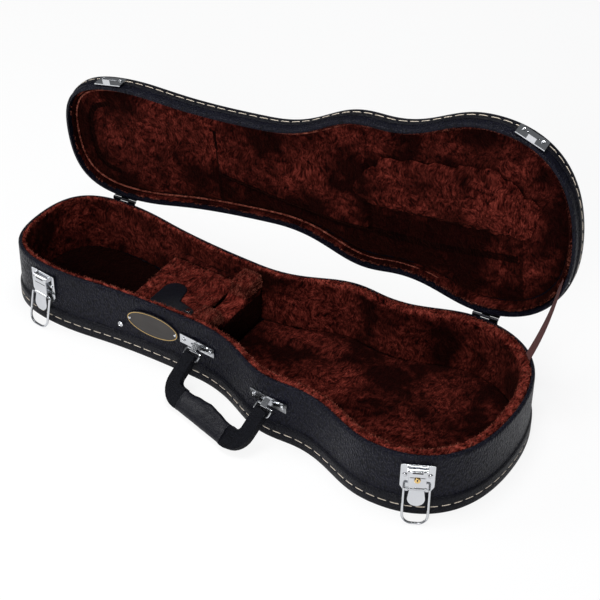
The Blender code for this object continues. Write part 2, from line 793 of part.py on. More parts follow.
TANGENT_SLOPE, TANGENT_HEIGHT = back_tangent()
HINGE_ALONG = Vector((1, TANGENT_SLOPE, 0)).normalized()
HINGE_OUT = Vector((-HINGE_ALONG.y, HINGE_ALONG.x, 0))
HINGE_AXIS_Z = TRAY_HEIGHT + RIM_GAP / 2
KNUCKLE_BORE = HINGE_PIN_RADIUS + GAP
KNUCKLE_RADIUS = KNUCKLE_BORE + HINGE_LEAF_THICKNESS
HINGE_OFFSET = GAP + KNUCKLE_RADIUS


def hinge_point(x):
    """The point of the hinge axis beside x."""
    on_line = Vector((x, TANGENT_SLOPE * x + TANGENT_HEIGHT, HINGE_AXIS_Z))
    return on_line + HINGE_OUT * HINGE_OFFSET


LID_PIVOT = hinge_point(0)
lid_holder = holder("lid_axis", LID_PIVOT, HINGE_ALONG, -LID_OPEN_ANGLE)


def opened(point):
    """Where a point drawn on the closed lid lies with the lid open."""
    turn = Matrix.Rotation(math.radians(-LID_OPEN_ANGLE), 3, HINGE_ALONG)
    return turn @ (Vector(point) - LID_PIVOT) + LID_PIVOT


def hinge_frame(x):
    """Side view of a hinge: X outward, Y up, Z along the axis from the hinge's middle."""
    origin = hinge_point(x)
    return Matrix(
        (
            (HINGE_OUT.x, 0, HINGE_ALONG.x, origin.x),
            (HINGE_OUT.y, 0, HINGE_ALONG.y, origin.y),
            (0, 1, 0, origin.z),
            (0, 0, 0, 1),
        )
    )


def leaf_outline(height):
    """Section of a leaf: a flat plate with its end rolled round the pin, and below 0 for the tray's."""
    up = math.copysign(1, height)
    outer = arc((0, 0), KNUCKLE_RADIUS, 180, 180 + 270 * up, 12)
    inner = arc((0, 0), KNUCKLE_BORE, 180 + 270 * up, 180, 12)
    return [(-KNUCKLE_RADIUS, height)] + outer + inner + [(-KNUCKLE_BORE, height)]


def add_hinge(name, x):
    frame = hinge_frame(x)
    half = HINGE_LENGTH / 2
    middle = HINGE_MIDDLE_KNUCKLE / 2
    reach = KNUCKLE_RADIUS + GAP
    # Only the rolled part is notched, so that both leaves keep their full plates.
    tray_plate = prism(leaf_outline(-HINGE_LEAF_HEIGHT), -half, half, frame)
    tray_leaf = solid(name + "_tray_leaf", tray_plate, BLACK_STEEL)
    notch = block((-reach, -reach, -middle - GAP), (reach, reach, middle + GAP), frame)
    shape_with(tray_leaf, "DIFFERENCE", name + "_middle_notch", notch)
    lid_plate = prism(leaf_outline(HINGE_LID_LEAF_HEIGHT), -half, half, frame)
    lid_leaf = solid(name + "_lid_leaf", lid_plate, BLACK_STEEL, lid_holder)
    for side in (-1, 1):
        low, high = sorted((side * middle, side * (half + GAP)))
        notch = block((-reach, -reach, low), (reach, reach, high), frame)
        shape_with(lid_leaf, "DIFFERENCE", f"{name}_end_notch_{side + 2}", notch)
    pin = prism(circle(HINGE_PIN_RADIUS, sides=12), -half, half, frame)
    solid(name + "_pin", pin, BLACK_STEEL, smooth=True)


add_hinge("hinge_head", along_case(HINGE_HEAD_SHARE))
add_hinge("hinge_tail", along_case(HINGE_TAIL_SHARE))

# Lid shell, drawn closed on the tray
LID_RIM_Z = TRAY_HEIGHT + RIM_GAP
LID_TOP_Z = TRAY_HEIGHT + LID_HEIGHT
LID_PANEL_TOP = LID_TOP_Z - LID_CROWN
LID_PANEL_LOW = LID_PANEL_TOP - LID_PANEL_THICKNESS
LID_BAND_LOW = LID_TOP_Z - LID_BAND_HEIGHT
LID_BAND_OUTER = GAP + LID_BAND_THICKNESS


def lid_wall_profile(x):
    edge = rolled_rim(LID_RIM_Z, -1, lambda z: 0.0)
    top = LID_PANEL_LOW - GAP
    return [(WALL_INNER, LID_RIM_Z)] + edge[::-1] + [(0.0, top), (WALL_INNER, top)]


def lid_band_profile(x):
    edge = [
        (LID_BAND_OUTER - inward * LID_BAND_THICKNESS, LID_PANEL_TOP - down * LID_BAND_THICKNESS)
        for inward, down in BAND_EDGE
    ]
    return [(GAP, LID_BAND_LOW), (LID_BAND_OUTER, LID_BAND_LOW)] + edge + [(GAP, LID_PANEL_TOP)]


def lid_padding_profile(x):
    outer = WALL_INNER - GAP
    inner = lid_padding_face(x)
    thick = outer - inner
    low = LID_RIM_Z + LID_RECESS
    top = LID_PANEL_LOW - GAP
    edge = [(outer - inward * thick, low + up * thick) for inward, up in LID_PADDING_EDGE]
    return edge + [(inner, top), (outer, top)]


def lid_panel():
    """The lid's top board, with a low crown."""
    steps = crowned(LID_PANEL_LOW, LID_PANEL_TOP, PANEL_CROWN_RUN, LID_CROWN)
    return capped_loft([[(*p, z) for p in rim_loop(-inset)] for inset, z in steps])


def roof_padding():
    """The cushion under the lid's board: its edge is drawn in and its middle hangs lower."""
    top = LID_PANEL_LOW - GAP
    loops = []
    for inset, z in crowned(top, top - ROOF_PADDING, ROOF_CROWN_RUN, -ROOF_CROWN):
        loops.append([(*p, z) for p in rim_loop(lambda x: lid_padding_face(x) - GAP - inset)])
    return capped_loft(loops)


def lid_pad():
    """The long raised cushion in the lid over the body, tapering towards the neck."""
    top = LID_PANEL_LOW - GAP - ROOF_PADDING - ROOF_CROWN - GAP
    width = LOWER_BOUT_WIDTH
    corners = [(along_case(x), y * width, radius * width) for x, y, radius in LID_PAD_CORNERS]
    outline = []
    for number, (x, y, radius) in enumerate(corners):
        before = corners[number - 1]
        after = corners[(number + 1) % len(corners)]
        start = math.degrees(math.atan2(y - before[1], x - before[0])) - 90
        turn = (math.degrees(math.atan2(after[1] - y, after[0] - x)) - 90 - start + 180) % 360 - 180
        outline += arc((x, y), radius, start, start + turn, 5)
    middle_x = along_case(LID_PAD_MIDDLE[0])
    middle_y = LID_PAD_MIDDLE[1] * width
    sections = [(1.0, 0.0), (1.0, LID_PAD_EDGE)]
    sections += [(share, depth * LID_PAD_THICKNESS) for share, depth in LID_PAD_STEPS]
    loops = []
    for share, depth in sections:
        loop = [(middle_x + (x - middle_x) * share, middle_y + (y - middle_y) * share) for x, y in outline]
        loops.append([(x, y, top - depth) for x, y in loop])
    return capped_loft(loops)


solid("lid_wall", ring_shell(lid_wall_profile), LEATHERETTE, lid_holder, smooth=True)
solid("lid_panel", lid_panel(), LEATHERETTE, lid_holder, smooth=True)
solid("lid_band", ring_shell(lid_band_profile), BINDING, lid_holder, smooth=True)
solid("lid_wall_padding", ring_shell(lid_padding_profile), PLUSH, lid_holder, smooth=True)
solid("lid_roof_padding", roof_padding(), PLUSH, lid_holder, smooth=True)
solid("lid_pad", lid_pad(), PLUSH, lid_holder, smooth=True)


# Stay ribbon from the tray's rim to the lid's rim
def back_point(y, offset):
    """The point of the tail end's back quarter at y, with the direction along the rim."""
    loop = [p for p in rim_loop(offset) if p.x > STATION["lower bout"][0] and p.y > -1]
    for a, b in zip(loop, loop[1:]):
        if b.y <= y <= a.y:
            return a.lerp(b, (a.y - y) / (a.y - b.y)), (b - a).normalized()
    return loop[0], (loop[1] - loop[0]).normalized()


def ribbon():
    """A flat ribbon that turns a little between its two ends and bows outward."""
    low, low_along = back_point(RIBBON_TRAY_Y, WALL_INNER - GAP - RIBBON_THICKNESS)
    high, high_along = back_point(RIBBON_LID_Y, WALL_INNER - RIBBON_INSET)
    start = Vector((*low, TRAY_HEIGHT + PADDING_PROUD + GAP))
    end = opened((*high, LID_RIM_Z + LID_RECESS - RIBBON_LID_TUCK))
    start_side = Vector((*low_along, 0))
    end_side = opened((*(high + high_along), 0)) - opened((*high, 0))
    sections = []
    for step in range(RIBBON_STEPS + 1):
        t = step / RIBBON_STEPS
        middle = start.lerp(end, t) + Vector((RIBBON_SAG, 0, 0)) * 4 * t * (1 - t)
        side = start_side.lerp(end_side, t).normalized() * RIBBON_WIDTH / 2
        face = (end - start).cross(side).normalized() * RIBBON_THICKNESS / 2
        low_edge = middle - side
        high_edge = middle + side
        sections.append([low_edge - face, high_edge - face, high_edge + face, low_edge + face])
    return capped_loft(sections)


solid("stay_ribbon", ribbon(), RIBBON)


# Handle: two brackets on the front wall and a swinging handle between them
BRACKET_MIDDLE_Z = TRAY_HEIGHT - BRACKET_DEPTH
BRACKET_LOW_Z = BRACKET_MIDDLE_Z - BRACKET_WIDTH / 2
BRACKET_HIGH_Z = BRACKET_MIDDLE_Z + BRACKET_WIDTH / 2
HANDLE_AXIS_Z = TRAY_HEIGHT - HANDLE_AXIS_DEPTH


def bracket_frame(side):
    x = along_case(HANDLE_SHARE) + side * BRACKET_SPACING / 2
    return seat_frame(x, BRACKET_LENGTH / 2, 0.0, draft_at(BRACKET_LOW_Z))


BRACKETS = {"head": bracket_frame(-1), "tail": bracket_frame(1)}
BRACKETS_START_X = along_case(HANDLE_SHARE) - BRACKET_SPACING / 2 - BRACKET_LENGTH / 2
LUGS = {name: frame @ Vector((0, HANDLE_AXIS_Z, HANDLE_STAND_OFF)) for name, frame in BRACKETS.items()}
HANDLE_ALONG = (LUGS["tail"] - LUGS["head"]).normalized()
HANDLE_OUT = HANDLE_ALONG.cross(Vector((0, 0, 1)))
HANDLE_MIDDLE = (LUGS["head"] + LUGS["tail"]) / 2
LUG_SPACING = (LUGS["tail"] - LUGS["head"]).length
HANDLE_FRAME = Matrix(
    (
        (HANDLE_ALONG.x, 0, HANDLE_OUT.x, HANDLE_MIDDLE.x),
        (HANDLE_ALONG.y, 0, HANDLE_OUT.y, HANDLE_MIDDLE.y),
        (0, 1, 0, HANDLE_MIDDLE.z),
        (0, 0, 0, 1),
    )
)
GRIP_TOP_DROP = HOLE_DROP
GRIP_LOW_DROP = HANDLE_DROP + GRIP_LOW_PROUD
CHANNEL_TOP_DROP = GRIP_TOP_DROP + GRIP_WALL
CHANNEL_LOW_DROP = GRIP_LOW_DROP - GRIP_WALL
CHANNEL_HALF = STRAP_THICKNESS / 2 + GAP


def grip_section(x):
    """Outer section of the grip at x, as heights below the axis and distances out."""
    swell = math.cos(math.pi * x / GRIP_LENGTH) ** 2
    top = -GRIP_TOP_DROP + GRIP_SWELL * swell
    middle = (top - GRIP_LOW_DROP) / 2
    half_high = (top + GRIP_LOW_DROP) / 2
    half_thick = GRIP_THICKNESS / 2 + GRIP_SIDE_SWELL * swell
    loop = []
    for step in range(GRIP_SIDES):
        angle = 2 * math.pi * step / GRIP_SIDES
        c, s = math.cos(angle), math.sin(angle)
        y = math.copysign(abs(c) ** (2 / GRIP_POWER), c) * half_high
        z = math.copysign(abs(s) ** (2 / GRIP_POWER), s) * half_thick
        loop.append((middle + y, z))
    return loop


def channel_section():
    """The hollow through the grip, with as many points as its outer section."""
    middle = -(CHANNEL_TOP_DROP + CHANNEL_LOW_DROP) / 2
    half_high = (CHANNEL_LOW_DROP - CHANNEL_TOP_DROP) / 2
    loop = []
    for step in range(GRIP_SIDES):
        angle = 2 * math.pi * step / GRIP_SIDES
        c, s = math.cos(angle), math.sin(angle)
        reach = 1 / max(abs(c), abs(s))
        loop.append((middle + c * reach * half_high, s * reach * CHANNEL_HALF))
    return loop


def grip():
    """A padded sleeve round the strap, swollen towards the fingers."""
    half = GRIP_LENGTH / 2
    places = [half * k / 5 for k in range(-5, 6)]
    outer = [[HANDLE_FRAME @ Vector((x, y, z)) for y, z in grip_section(x)] for x in places]
    inner = [[HANDLE_FRAME @ Vector((x, y, z)) for y, z in channel_section()] for x in (half, -half)]
    return closed_loft(outer + inner)


def strap_outline():
    """The handle's strap: two arms, round corners and a narrower bar inside the grip."""
    inside = LUG_SPACING / 2 - ARM_WIDTH / 2
    outside = LUG_SPACING / 2 + ARM_WIDTH / 2
    step_x = GRIP_LENGTH / 2 + GAP
    bar_top = CHANNEL_TOP_DROP + GAP
    bar_low = CHANNEL_LOW_DROP - GAP
    corner = (outside - HANDLE_CORNER_RADIUS, -HANDLE_DROP + HANDLE_CORNER_RADIUS)
    inner_corner = (inside - HOLE_CORNER_RADIUS, -HOLE_DROP + HOLE_CORNER_RADIUS)
    right = [(step_x, -bar_top), (step_x, -HOLE_DROP)]
    right += arc(inner_corner, HOLE_CORNER_RADIUS, -90, 0, 4)
    right += [(inside, -ARM_TOP_DROP), (outside, -ARM_TOP_DROP)]
    right += arc(corner, HANDLE_CORNER_RADIUS, 0, -90, 8)
    right += [(step_x, -HANDLE_DROP), (step_x, -bar_low)]
    left = [(-x, y) for x, y in reversed(right)]
    return right + left


def rest_lean():
    """Degrees that the handle leans out when its grip lies on the table."""
    section = grip_section(0) + grip_section(GRIP_LENGTH / 2)
    half = STRAP_THICKNESS / 2
    section += [(-HANDLE_DROP, -half), (-HANDLE_DROP, half)]
    low, high = 0.0, 90.0
    for _ in range(40):
        lean = (low + high) / 2
        c, s = math.cos(math.radians(lean)), math.sin(math.radians(lean))
        lowest = HANDLE_AXIS_Z + min(y * c + z * s for y, z in section)
        if lowest < GAP:
            low = lean
        else:
            high = lean
    return high


HANDLE_LEAN = rest_lean()
handle_holder = holder("handle_axis", HANDLE_MIDDLE, HANDLE_ALONG, -HANDLE_LEAN)


def ring_points(centre_x):
    """A rectangular ring with round corners, from the lug down to the arm."""
    half = ARM_WIDTH / 2 + RING_CORNER_RADIUS + GAP
    corner = RING_CORNER_RADIUS
    points = []
    for centre, start in (
        ((half - corner, -corner), 90),
        ((half - corner, -RING_DROP + corner), 0),
        ((-half + corner, -RING_DROP + corner), -90),
        ((-half + corner, -corner), -180),
    ):
        points += arc(centre, corner, start, start - 90, 4)
    return [HANDLE_FRAME @ Vector((centre_x + x, y, 0)) for x, y in points]


def along_handle(radius, low, high, drop=0.0, sides=16):
    """A rod along the handle's axis, as much below it as drop."""
    turn = Matrix(((0, 0, 1, 0), (1, 0, 0, -drop), (0, 1, 0, 0), (0, 0, 0, 1)))
    return prism(circle(radius, sides=sides), low, high, HANDLE_FRAME @ turn)


def lug_outline():
    """Side view of a lug: a foot on the plate and a round eye on the handle's axis."""
    eye = (HANDLE_AXIS_Z, HANDLE_STAND_OFF)
    foot = BRACKET_HIGH_Z - LUG_FOOT_INSET
    low = BRACKET_LOW_Z + GAP
    sunk = BRACKET_THICKNESS - FOOT_SINK
    return [(low, sunk), (foot, sunk)] + arc(eye, LUG_RADIUS, 40, 180, 8)


def add_screw(name, frame, x, y, height, material=CHROME, parent=None):
    """A low round screw head on a plate whose face is at that height."""
    base = height + GAP
    loops = []
    for wide, high in SCREW_RINGS:
        z = base + SCREW_HEAD_HEIGHT * high
        loops.append([frame @ Vector((*p, z)) for p in circle(wide * SCREW_HEAD_RADIUS, (x, y), 12)])
    solid(name, capped_loft(loops), material, parent, smooth=True)


def add_bracket(name):
    frame = BRACKETS[name]
    half = BRACKET_LENGTH / 2
    plate_shape = block((-half, BRACKET_LOW_Z, 0), (half, BRACKET_HIGH_Z, BRACKET_THICKNESS), frame)
    plate = solid(f"handle_bracket_{name}", plate_shape, CHROME)
    lug = prism(lug_outline(), -LUG_LENGTH / 2, LUG_LENGTH / 2, side_frame(frame))
    shape_with(plate, "UNION", f"lug_{name}", lug)
    place = LUG_SPACING / 2 * (1 if name == "tail" else -1)
    bore = along_handle(RING_WIRE_RADIUS + GAP, place - LUG_LENGTH, place + LUG_LENGTH)
    shape_with(plate, "DIFFERENCE", f"lug_bore_{name}", bore)
    for number, side in ((1, -1), (2, 1)):
        x = side * (half - BRACKET_SCREW_INSET)
        add_screw(f"bracket_{name}_screw_{number}", frame, x, BRACKET_MIDDLE_Z, BRACKET_THICKNESS)
    points = ring_points(place)
    wire(f"handle_ring_{name}", points, RING_WIRE_RADIUS, CHROME, handle_holder, closed=True)


add_bracket("head")
add_bracket("tail")
strap_half = STRAP_THICKNESS / 2
strap_shape = prism(strap_outline(), -strap_half, strap_half, HANDLE_FRAME)
strap = solid("handle_strap", strap_shape, HANDLE_PLASTIC, handle_holder)
for name, side in (("head", -1), ("tail", 1)):
    arm = side * LUG_SPACING / 2
    bore = along_handle(RING_WIRE_RADIUS + GAP, arm - ARM_WIDTH, arm + ARM_WIDTH, RING_DROP)
    shape_with(strap, "DIFFERENCE", f"arm_bore_{name}", bore)
solid("handle_grip", grip(), HANDLE_PLASTIC, handle_holder, smooth=True)


# Draw latches: a base plate, a lever on a pin, and a wire bail that hangs from the lever
LATCH_HIGH_Z = TRAY_HEIGHT - LATCH_DEPTH
LATCH_LOW_Z = LATCH_HIGH_Z - LATCH_HEIGHT
LEVER_PIVOT_Z = TRAY_HEIGHT - LEVER_PIVOT_DEPTH
LEVER_NECK_Z = TRAY_HEIGHT - LEVER_NECK_DEPTH
LEVER_TIP_Z = TRAY_HEIGHT - LEVER_TIP_DEPTH
BAIL_PIVOT_Z = TRAY_HEIGHT - BAIL_PIVOT_DEPTH
LOCK_Z = TRAY_HEIGHT - LOCK_DEPTH
RIVET_Z = TRAY_HEIGHT - RIVET_DEPTH
HOOK_TOP_Z = LID_RIM_Z + CATCH_RISE + HOOK_THICKNESS
BAIL_REACH = HOOK_TOP_Z + GAP + BAIL_WIRE_RADIUS - BAIL_PIVOT_Z
# The bail leans out until its end is on the table, or hangs straight where it is too short for that.
BAIL_LEAN = math.degrees(math.acos(min(1.0, (BAIL_PIVOT_Z - BAIL_WIRE_RADIUS - GAP) / BAIL_REACH)))


def latch_frame(x):
    return seat_frame(x, LATCH_WIDTH / 2, 0.0, draft_at(LATCH_LOW_Z))


def lever_side():
    """Side view of the lever: rolled round its pin at the top, then flat, then the thumb tab."""
    outer = LEVER_PIVOT_OUT + LEVER_KNUCKLE_RADIUS
    inner = outer - LEVER_SHEET
    roll_end = 180 - math.degrees(math.asin((inner - LEVER_PIVOT_OUT) / LEVER_KNUCKLE_RADIUS))
    outline = arc((LEVER_PIVOT_Z, LEVER_PIVOT_OUT), LEVER_KNUCKLE_RADIUS, 90, roll_end - 360, 14)
    outline += [(LEVER_NECK_Z, inner), (LEVER_TIP_Z, LEVER_TIP_OUT)]
    outline += [(LEVER_TIP_Z, LEVER_TIP_OUT + LEVER_SHEET), (LEVER_NECK_Z, outer)]
    return outline


def lever_front():
    """Front view of the lever: a straight plate, a narrower neck and a round spade."""
    half = LEVER_WIDTH / 2
    neck = LEVER_NECK_WIDTH / 2
    spade_z = LEVER_TIP_Z + half
    top = LEVER_PIVOT_Z + 2 * LEVER_KNUCKLE_RADIUS
    right = [(half, top), (half, LEVER_NECK_Z + LEVER_NECK_STEP), (neck, LEVER_NECK_Z - LEVER_NECK_STEP)]
    right += arc((0, spade_z), half, 0, -82, 8)
    return right + [(-x, y) for x, y in reversed(right)]


def base_outline():
    half = LATCH_WIDTH / 2
    right = [(half - LATCH_CHAMFER, LATCH_HIGH_Z), (half, LATCH_HIGH_Z - LATCH_CHAMFER)]
    right += [(half, LATCH_LOW_Z + LATCH_CORNER_HEIGHT), (half - LATCH_CORNER_WIDTH, LATCH_LOW_Z)]
    return right + [(-x, y) for x, y in reversed(right)]


def bail_points(frame):
    """The bail, drawn hanging straight down from its pivot."""
    half = BAIL_WIDTH / 2
    end = LEVER_WIDTH / 2 + GAP
    low = -BAIL_REACH
    right = [(end, 0)] + arc((half - BAIL_BEND_RADIUS, -BAIL_BEND_RADIUS), BAIL_BEND_RADIUS, 90, 0, 2)
    right += arc((half - BAIL_CORNER_RADIUS, low + BAIL_CORNER_RADIUS), BAIL_CORNER_RADIUS, 0, -90, 7)
    left = [(-x, y) for x, y in reversed(right)]
    return [frame @ Vector((x, BAIL_PIVOT_Z + y, BAIL_PIVOT_OUT)) for x, y in right + left]


def catch_plate(name, frame, latch):
    """The lid's plate with its hook. frame lies on the lid's band, latch on the tray's wall."""
    half = CATCH_WIDTH / 2
    low = LID_RIM_Z + CATCH_RISE
    plate_shape = block((-half, low, 0), (half, low + CATCH_HEIGHT, CATCH_THICKNESS), frame)
    plate = solid(f"catch_{name}_plate", plate_shape, CHROME, lid_holder)
    bail_out = (frame.inverted() @ (latch @ Vector((0, 0, BAIL_PIVOT_OUT)))).z
    lip = bail_out + BAIL_WIRE_RADIUS + GAP
    base = low + HOOK_SET_UP
    top = low + HOOK_THICKNESS
    lip_top = top + HOOK_LIP_RISE
    sunk = CATCH_THICKNESS - FOOT_SINK
    outline = [(base, sunk), (base, lip + HOOK_THICKNESS), (lip_top, lip + HOOK_THICKNESS)]
    outline += [(lip_top, lip), (top, lip), (top, sunk)]
    hook = prism(outline, -HOOK_WIDTH / 2, HOOK_WIDTH / 2, side_frame(frame))
    shape_with(plate, "UNION", f"hook_{name}", hook)
    for number, side in ((1, -1), (2, 1)):
        x = side * (half - CATCH_SCREW_INSET)
        y = low + CATCH_HEIGHT - CATCH_SCREW_DROP
        add_screw(f"catch_{name}_screw_{number}", frame, x, y, CATCH_THICKNESS, parent=lid_holder)


def keeper_outline():
    """A hooked keeper on the base plate, seen from above: the lock's cam turns in behind it."""
    low = LATCH_PLATE_THICKNESS + LOCK_CAM_THICKNESS + 2 * GAP
    sunk = LATCH_PLATE_THICKNESS - FOOT_SINK
    top = low + LOCK_KEEPER_SHEET
    post = -LOCK_CAM_LENGTH - 2 * GAP
    outer = post - LOCK_KEEPER_SHEET
    inner = outer + LOCK_KEEPER_WIDTH
    return [(outer, sunk), (post, sunk), (post, low), (inner, low), (inner, top), (outer, top)]


def add_latch(name, x, locks):
    frame = latch_frame(x)
    along = (frame @ Vector((1, 0, 0))) - frame.translation
    half = LEVER_WIDTH / 2
    side = side_frame(frame)
    ear_radius = LEVER_KNUCKLE_RADIUS + EAR_MARGIN
    sunk = LATCH_PLATE_THICKNESS - FOOT_SINK
    outer = LEVER_PIVOT_OUT + LEVER_KNUCKLE_RADIUS

    base = solid(f"latch_{name}_base", prism(base_outline(), 0, LATCH_PLATE_THICKNESS, frame), CHROME)
    for number, sign in ((1, -1), (2, 1)):
        low, high = sorted((sign * (half + GAP), sign * (half + GAP + EAR_THICKNESS)))
        ear = arc((LEVER_PIVOT_Z, LEVER_PIVOT_OUT), ear_radius, 0, 180, 8)
        ear = [(LEVER_PIVOT_Z + ear_radius, sunk)] + ear + [(LEVER_PIVOT_Z - ear_radius, sunk)]
        shape_with(base, "UNION", f"latch_{name}_ear_{number}", prism(ear, low, high, side))

        rivet_x = sign * (LATCH_WIDTH / 2 - RIVET_INSET)
        add_screw(f"latch_{name}_rivet_{number}", frame, rivet_x, RIVET_Z, LATCH_PLATE_THICKNESS)

    pivot = frame @ Vector((0, LEVER_PIVOT_Z, LEVER_PIVOT_OUT))
    lever_holder = holder(f"latch_{name}_lever_axis", pivot, along, 0)
    sheet = prism(lever_side(), -half - GAP, half + GAP, side)
    lever = solid(f"latch_{name}_lever", sheet, CHROME, lever_holder)
    front = prism(lever_front(), 0, LEVER_TIP_OUT + 2 * LEVER_SHEET, frame)
    shape_with(lever, "INTERSECT", f"latch_{name}_lever_front", front)
    boss_place = side @ Matrix.Translation((BAIL_PIVOT_Z, BAIL_PIVOT_OUT, 0))
    boss = prism(circle(BAIL_BOSS_RADIUS), -half, half, boss_place)
    shape_with(lever, "UNION", f"latch_{name}_lever_boss", boss)
    pin_place = side @ Matrix.Translation((LEVER_PIVOT_Z, LEVER_PIVOT_OUT, 0))
    bore = prism(circle(LEVER_PIN_RADIUS + GAP), -half - GAP, half + GAP, pin_place)
    shape_with(lever, "DIFFERENCE", f"latch_{name}_lever_bore", bore)
    pin = prism(circle(LEVER_PIN_RADIUS), -half, half, pin_place)
    solid(f"latch_{name}_pin", pin, CHROME, smooth=True)

    if locks:
        across = frame @ Matrix(((1, 0, 0, 0), (0, 0, 1, LOCK_Z), (0, 1, 0, 0), (0, 0, 0, 1)))
        half_keeper = LOCK_KEEPER_HEIGHT / 2
        keeper = prism(keeper_outline(), -half_keeper, half_keeper, across)
        shape_with(base, "UNION", "lock_keeper", keeper)
        back = LATCH_PLATE_THICKNESS + GAP
        seat = frame @ Matrix.Translation((0, LOCK_Z, 0))
        bore = prism(circle(LOCK_RADIUS + GAP), outer - 2 * LEVER_SHEET, outer + LEVER_SHEET, seat)
        shape_with(lever, "DIFFERENCE", "lock_bore", bore)
        out = seat.to_3x3() @ Vector((0, 0, 1))
        lock_holder = holder("lock_axis", seat.translation, out, 0, lever_holder)
        shank = prism(circle(LOCK_RADIUS), back, outer + LOCK_PROUD, seat)
        barrel = solid("lock_barrel", shank, BRASS, lock_holder)
        half_cam = LOCK_CAM_WIDTH / 2
        cam = block((-half_cam, 0, back), (half_cam, LOCK_CAM_LENGTH, back + LOCK_CAM_THICKNESS), seat)
        shape_with(barrel, "UNION", "lock_cam", cam)

    bail_pivot = frame @ Vector((0, BAIL_PIVOT_Z, BAIL_PIVOT_OUT))
    bail_holder = holder(f"latch_{name}_bail_axis", bail_pivot, along, -BAIL_LEAN, lever_holder)
    wire(f"latch_{name}_bail", bail_points(frame), BAIL_WIRE_RADIUS, CHROME, bail_holder)

    lid_frame = seat_frame(x, LATCH_WIDTH / 2, 0.0, LID_BAND_OUTER)
    catch_plate(name, lid_frame, frame)


add_latch("head", along_case(LATCH_HEAD_SHARE), False)
add_latch("tail", along_case(LATCH_TAIL_SHARE), True)


# Badge and keeper stud on the front wall, in line with the handle's brackets
BADGE_X = BRACKETS_START_X - BADGE_TO_BRACKET - BADGE_LENGTH / 2
STUD_X = BADGE_X - BADGE_LENGTH / 2 - STUD_TO_BADGE


def add_badge():
    """An oval plate held by a round pin near each end."""
    middle_z = TRAY_HEIGHT - BADGE_DEPTH
    low = middle_z - BADGE_HEIGHT / 2
    frame = seat_frame(BADGE_X, BADGE_LENGTH / 2, 0.0, draft_at(low))
    oval = [(x * BADGE_LENGTH / 2, middle_z + y * BADGE_HEIGHT / 2) for x, y in circle(1.0, sides=36)]
    solid("badge_plate", prism(oval, 0, BADGE_THICKNESS, frame), BADGE_FACE)
    pin_low = BADGE_THICKNESS + GAP
    for number, side in ((1, -1), (2, 1)):
        place = (side * (BADGE_LENGTH / 2 - BADGE_PIN_INSET), middle_z)
        shape = prism(circle(BADGE_PIN_RADIUS, place, 12), pin_low, pin_low + BADGE_PIN_HEIGHT, frame)
        solid(f"badge_pin_{number}", shape, CHROME, smooth=True)


def add_stud():
    """A round keeper stud beside the badge."""
    z = TRAY_HEIGHT - STUD_DEPTH
    frame = seat_frame(STUD_X, STUD_RADIUS, 0.0, draft_at(z - STUD_RADIUS))
    loops = []
    for wide, high in STUD_RINGS:
        ring = circle(wide * STUD_RADIUS, (0, z), 16)
        loops.append([frame @ Vector((*p, high * STUD_HEIGHT)) for p in ring])
    solid("keeper_stud", capped_loft(loops), CHROME, smooth=True)


add_badge()
add_stud()
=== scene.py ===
"""A shaped hard case for a ukulele, open on a white table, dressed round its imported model."""

import json
import math

import bmesh
import bpy
import numpy as np
from mathutils import Matrix, Vector, noise
from mathutils.bvhtree import BVHTree


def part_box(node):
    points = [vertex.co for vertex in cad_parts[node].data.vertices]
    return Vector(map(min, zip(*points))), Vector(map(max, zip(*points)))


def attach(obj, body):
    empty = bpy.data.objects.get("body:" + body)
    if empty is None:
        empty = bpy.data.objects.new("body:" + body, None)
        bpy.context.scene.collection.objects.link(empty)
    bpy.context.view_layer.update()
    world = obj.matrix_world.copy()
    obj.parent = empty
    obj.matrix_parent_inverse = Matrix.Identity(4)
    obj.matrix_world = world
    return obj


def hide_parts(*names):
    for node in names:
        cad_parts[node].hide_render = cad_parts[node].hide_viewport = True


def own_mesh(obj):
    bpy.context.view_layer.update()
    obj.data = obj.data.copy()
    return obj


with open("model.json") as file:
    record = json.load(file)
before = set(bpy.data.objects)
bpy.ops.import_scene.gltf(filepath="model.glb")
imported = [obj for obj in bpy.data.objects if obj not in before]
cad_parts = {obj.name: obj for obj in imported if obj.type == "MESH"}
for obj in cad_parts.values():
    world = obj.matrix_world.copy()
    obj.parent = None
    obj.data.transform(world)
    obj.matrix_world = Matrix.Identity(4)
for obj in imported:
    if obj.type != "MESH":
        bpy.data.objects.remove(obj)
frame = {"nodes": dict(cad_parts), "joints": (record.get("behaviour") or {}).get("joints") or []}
nodes = frame["nodes"]
joints = {joint["name"]: joint for joint in frame["joints"]}
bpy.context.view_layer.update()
scene = bpy.context.scene
scene.view_settings.view_transform = "Standard"

# CAMERA
# A long lens looks down on the case from its front left, above the handle's side.
# Its place was fitted to the rim, the lid and the hardware in the photograph.
AZIMUTH, ELEVATION, ROLL = (math.radians(a) for a in (32.15, 38.69, 1.08))
DISTANCE = 1.7742
TARGET = Vector((0.03209, 0.03461, 0.08))
LENS = 93.417
SENSOR = 36.0

look = Vector((
    -math.sin(AZIMUTH) * math.cos(ELEVATION),
    math.cos(AZIMUTH) * math.cos(ELEVATION),
    -math.sin(ELEVATION),
))
level = Vector((math.cos(AZIMUTH), math.sin(AZIMUTH), 0.0))
upright = level.cross(look)
right = math.cos(ROLL) * level + math.sin(ROLL) * upright
up = -math.sin(ROLL) * level + math.cos(ROLL) * upright
camera = bpy.data.objects.new("camera", bpy.data.cameras.new("camera"))
camera.data.sensor_width = SENSOR
camera.data.lens = LENS
camera_turn = Matrix((right, up, -look)).transposed().to_4x4()
camera.matrix_world = Matrix.Translation(TARGET - look * DISTANCE) @ camera_turn
scene.collection.objects.link(camera)
scene.camera = camera

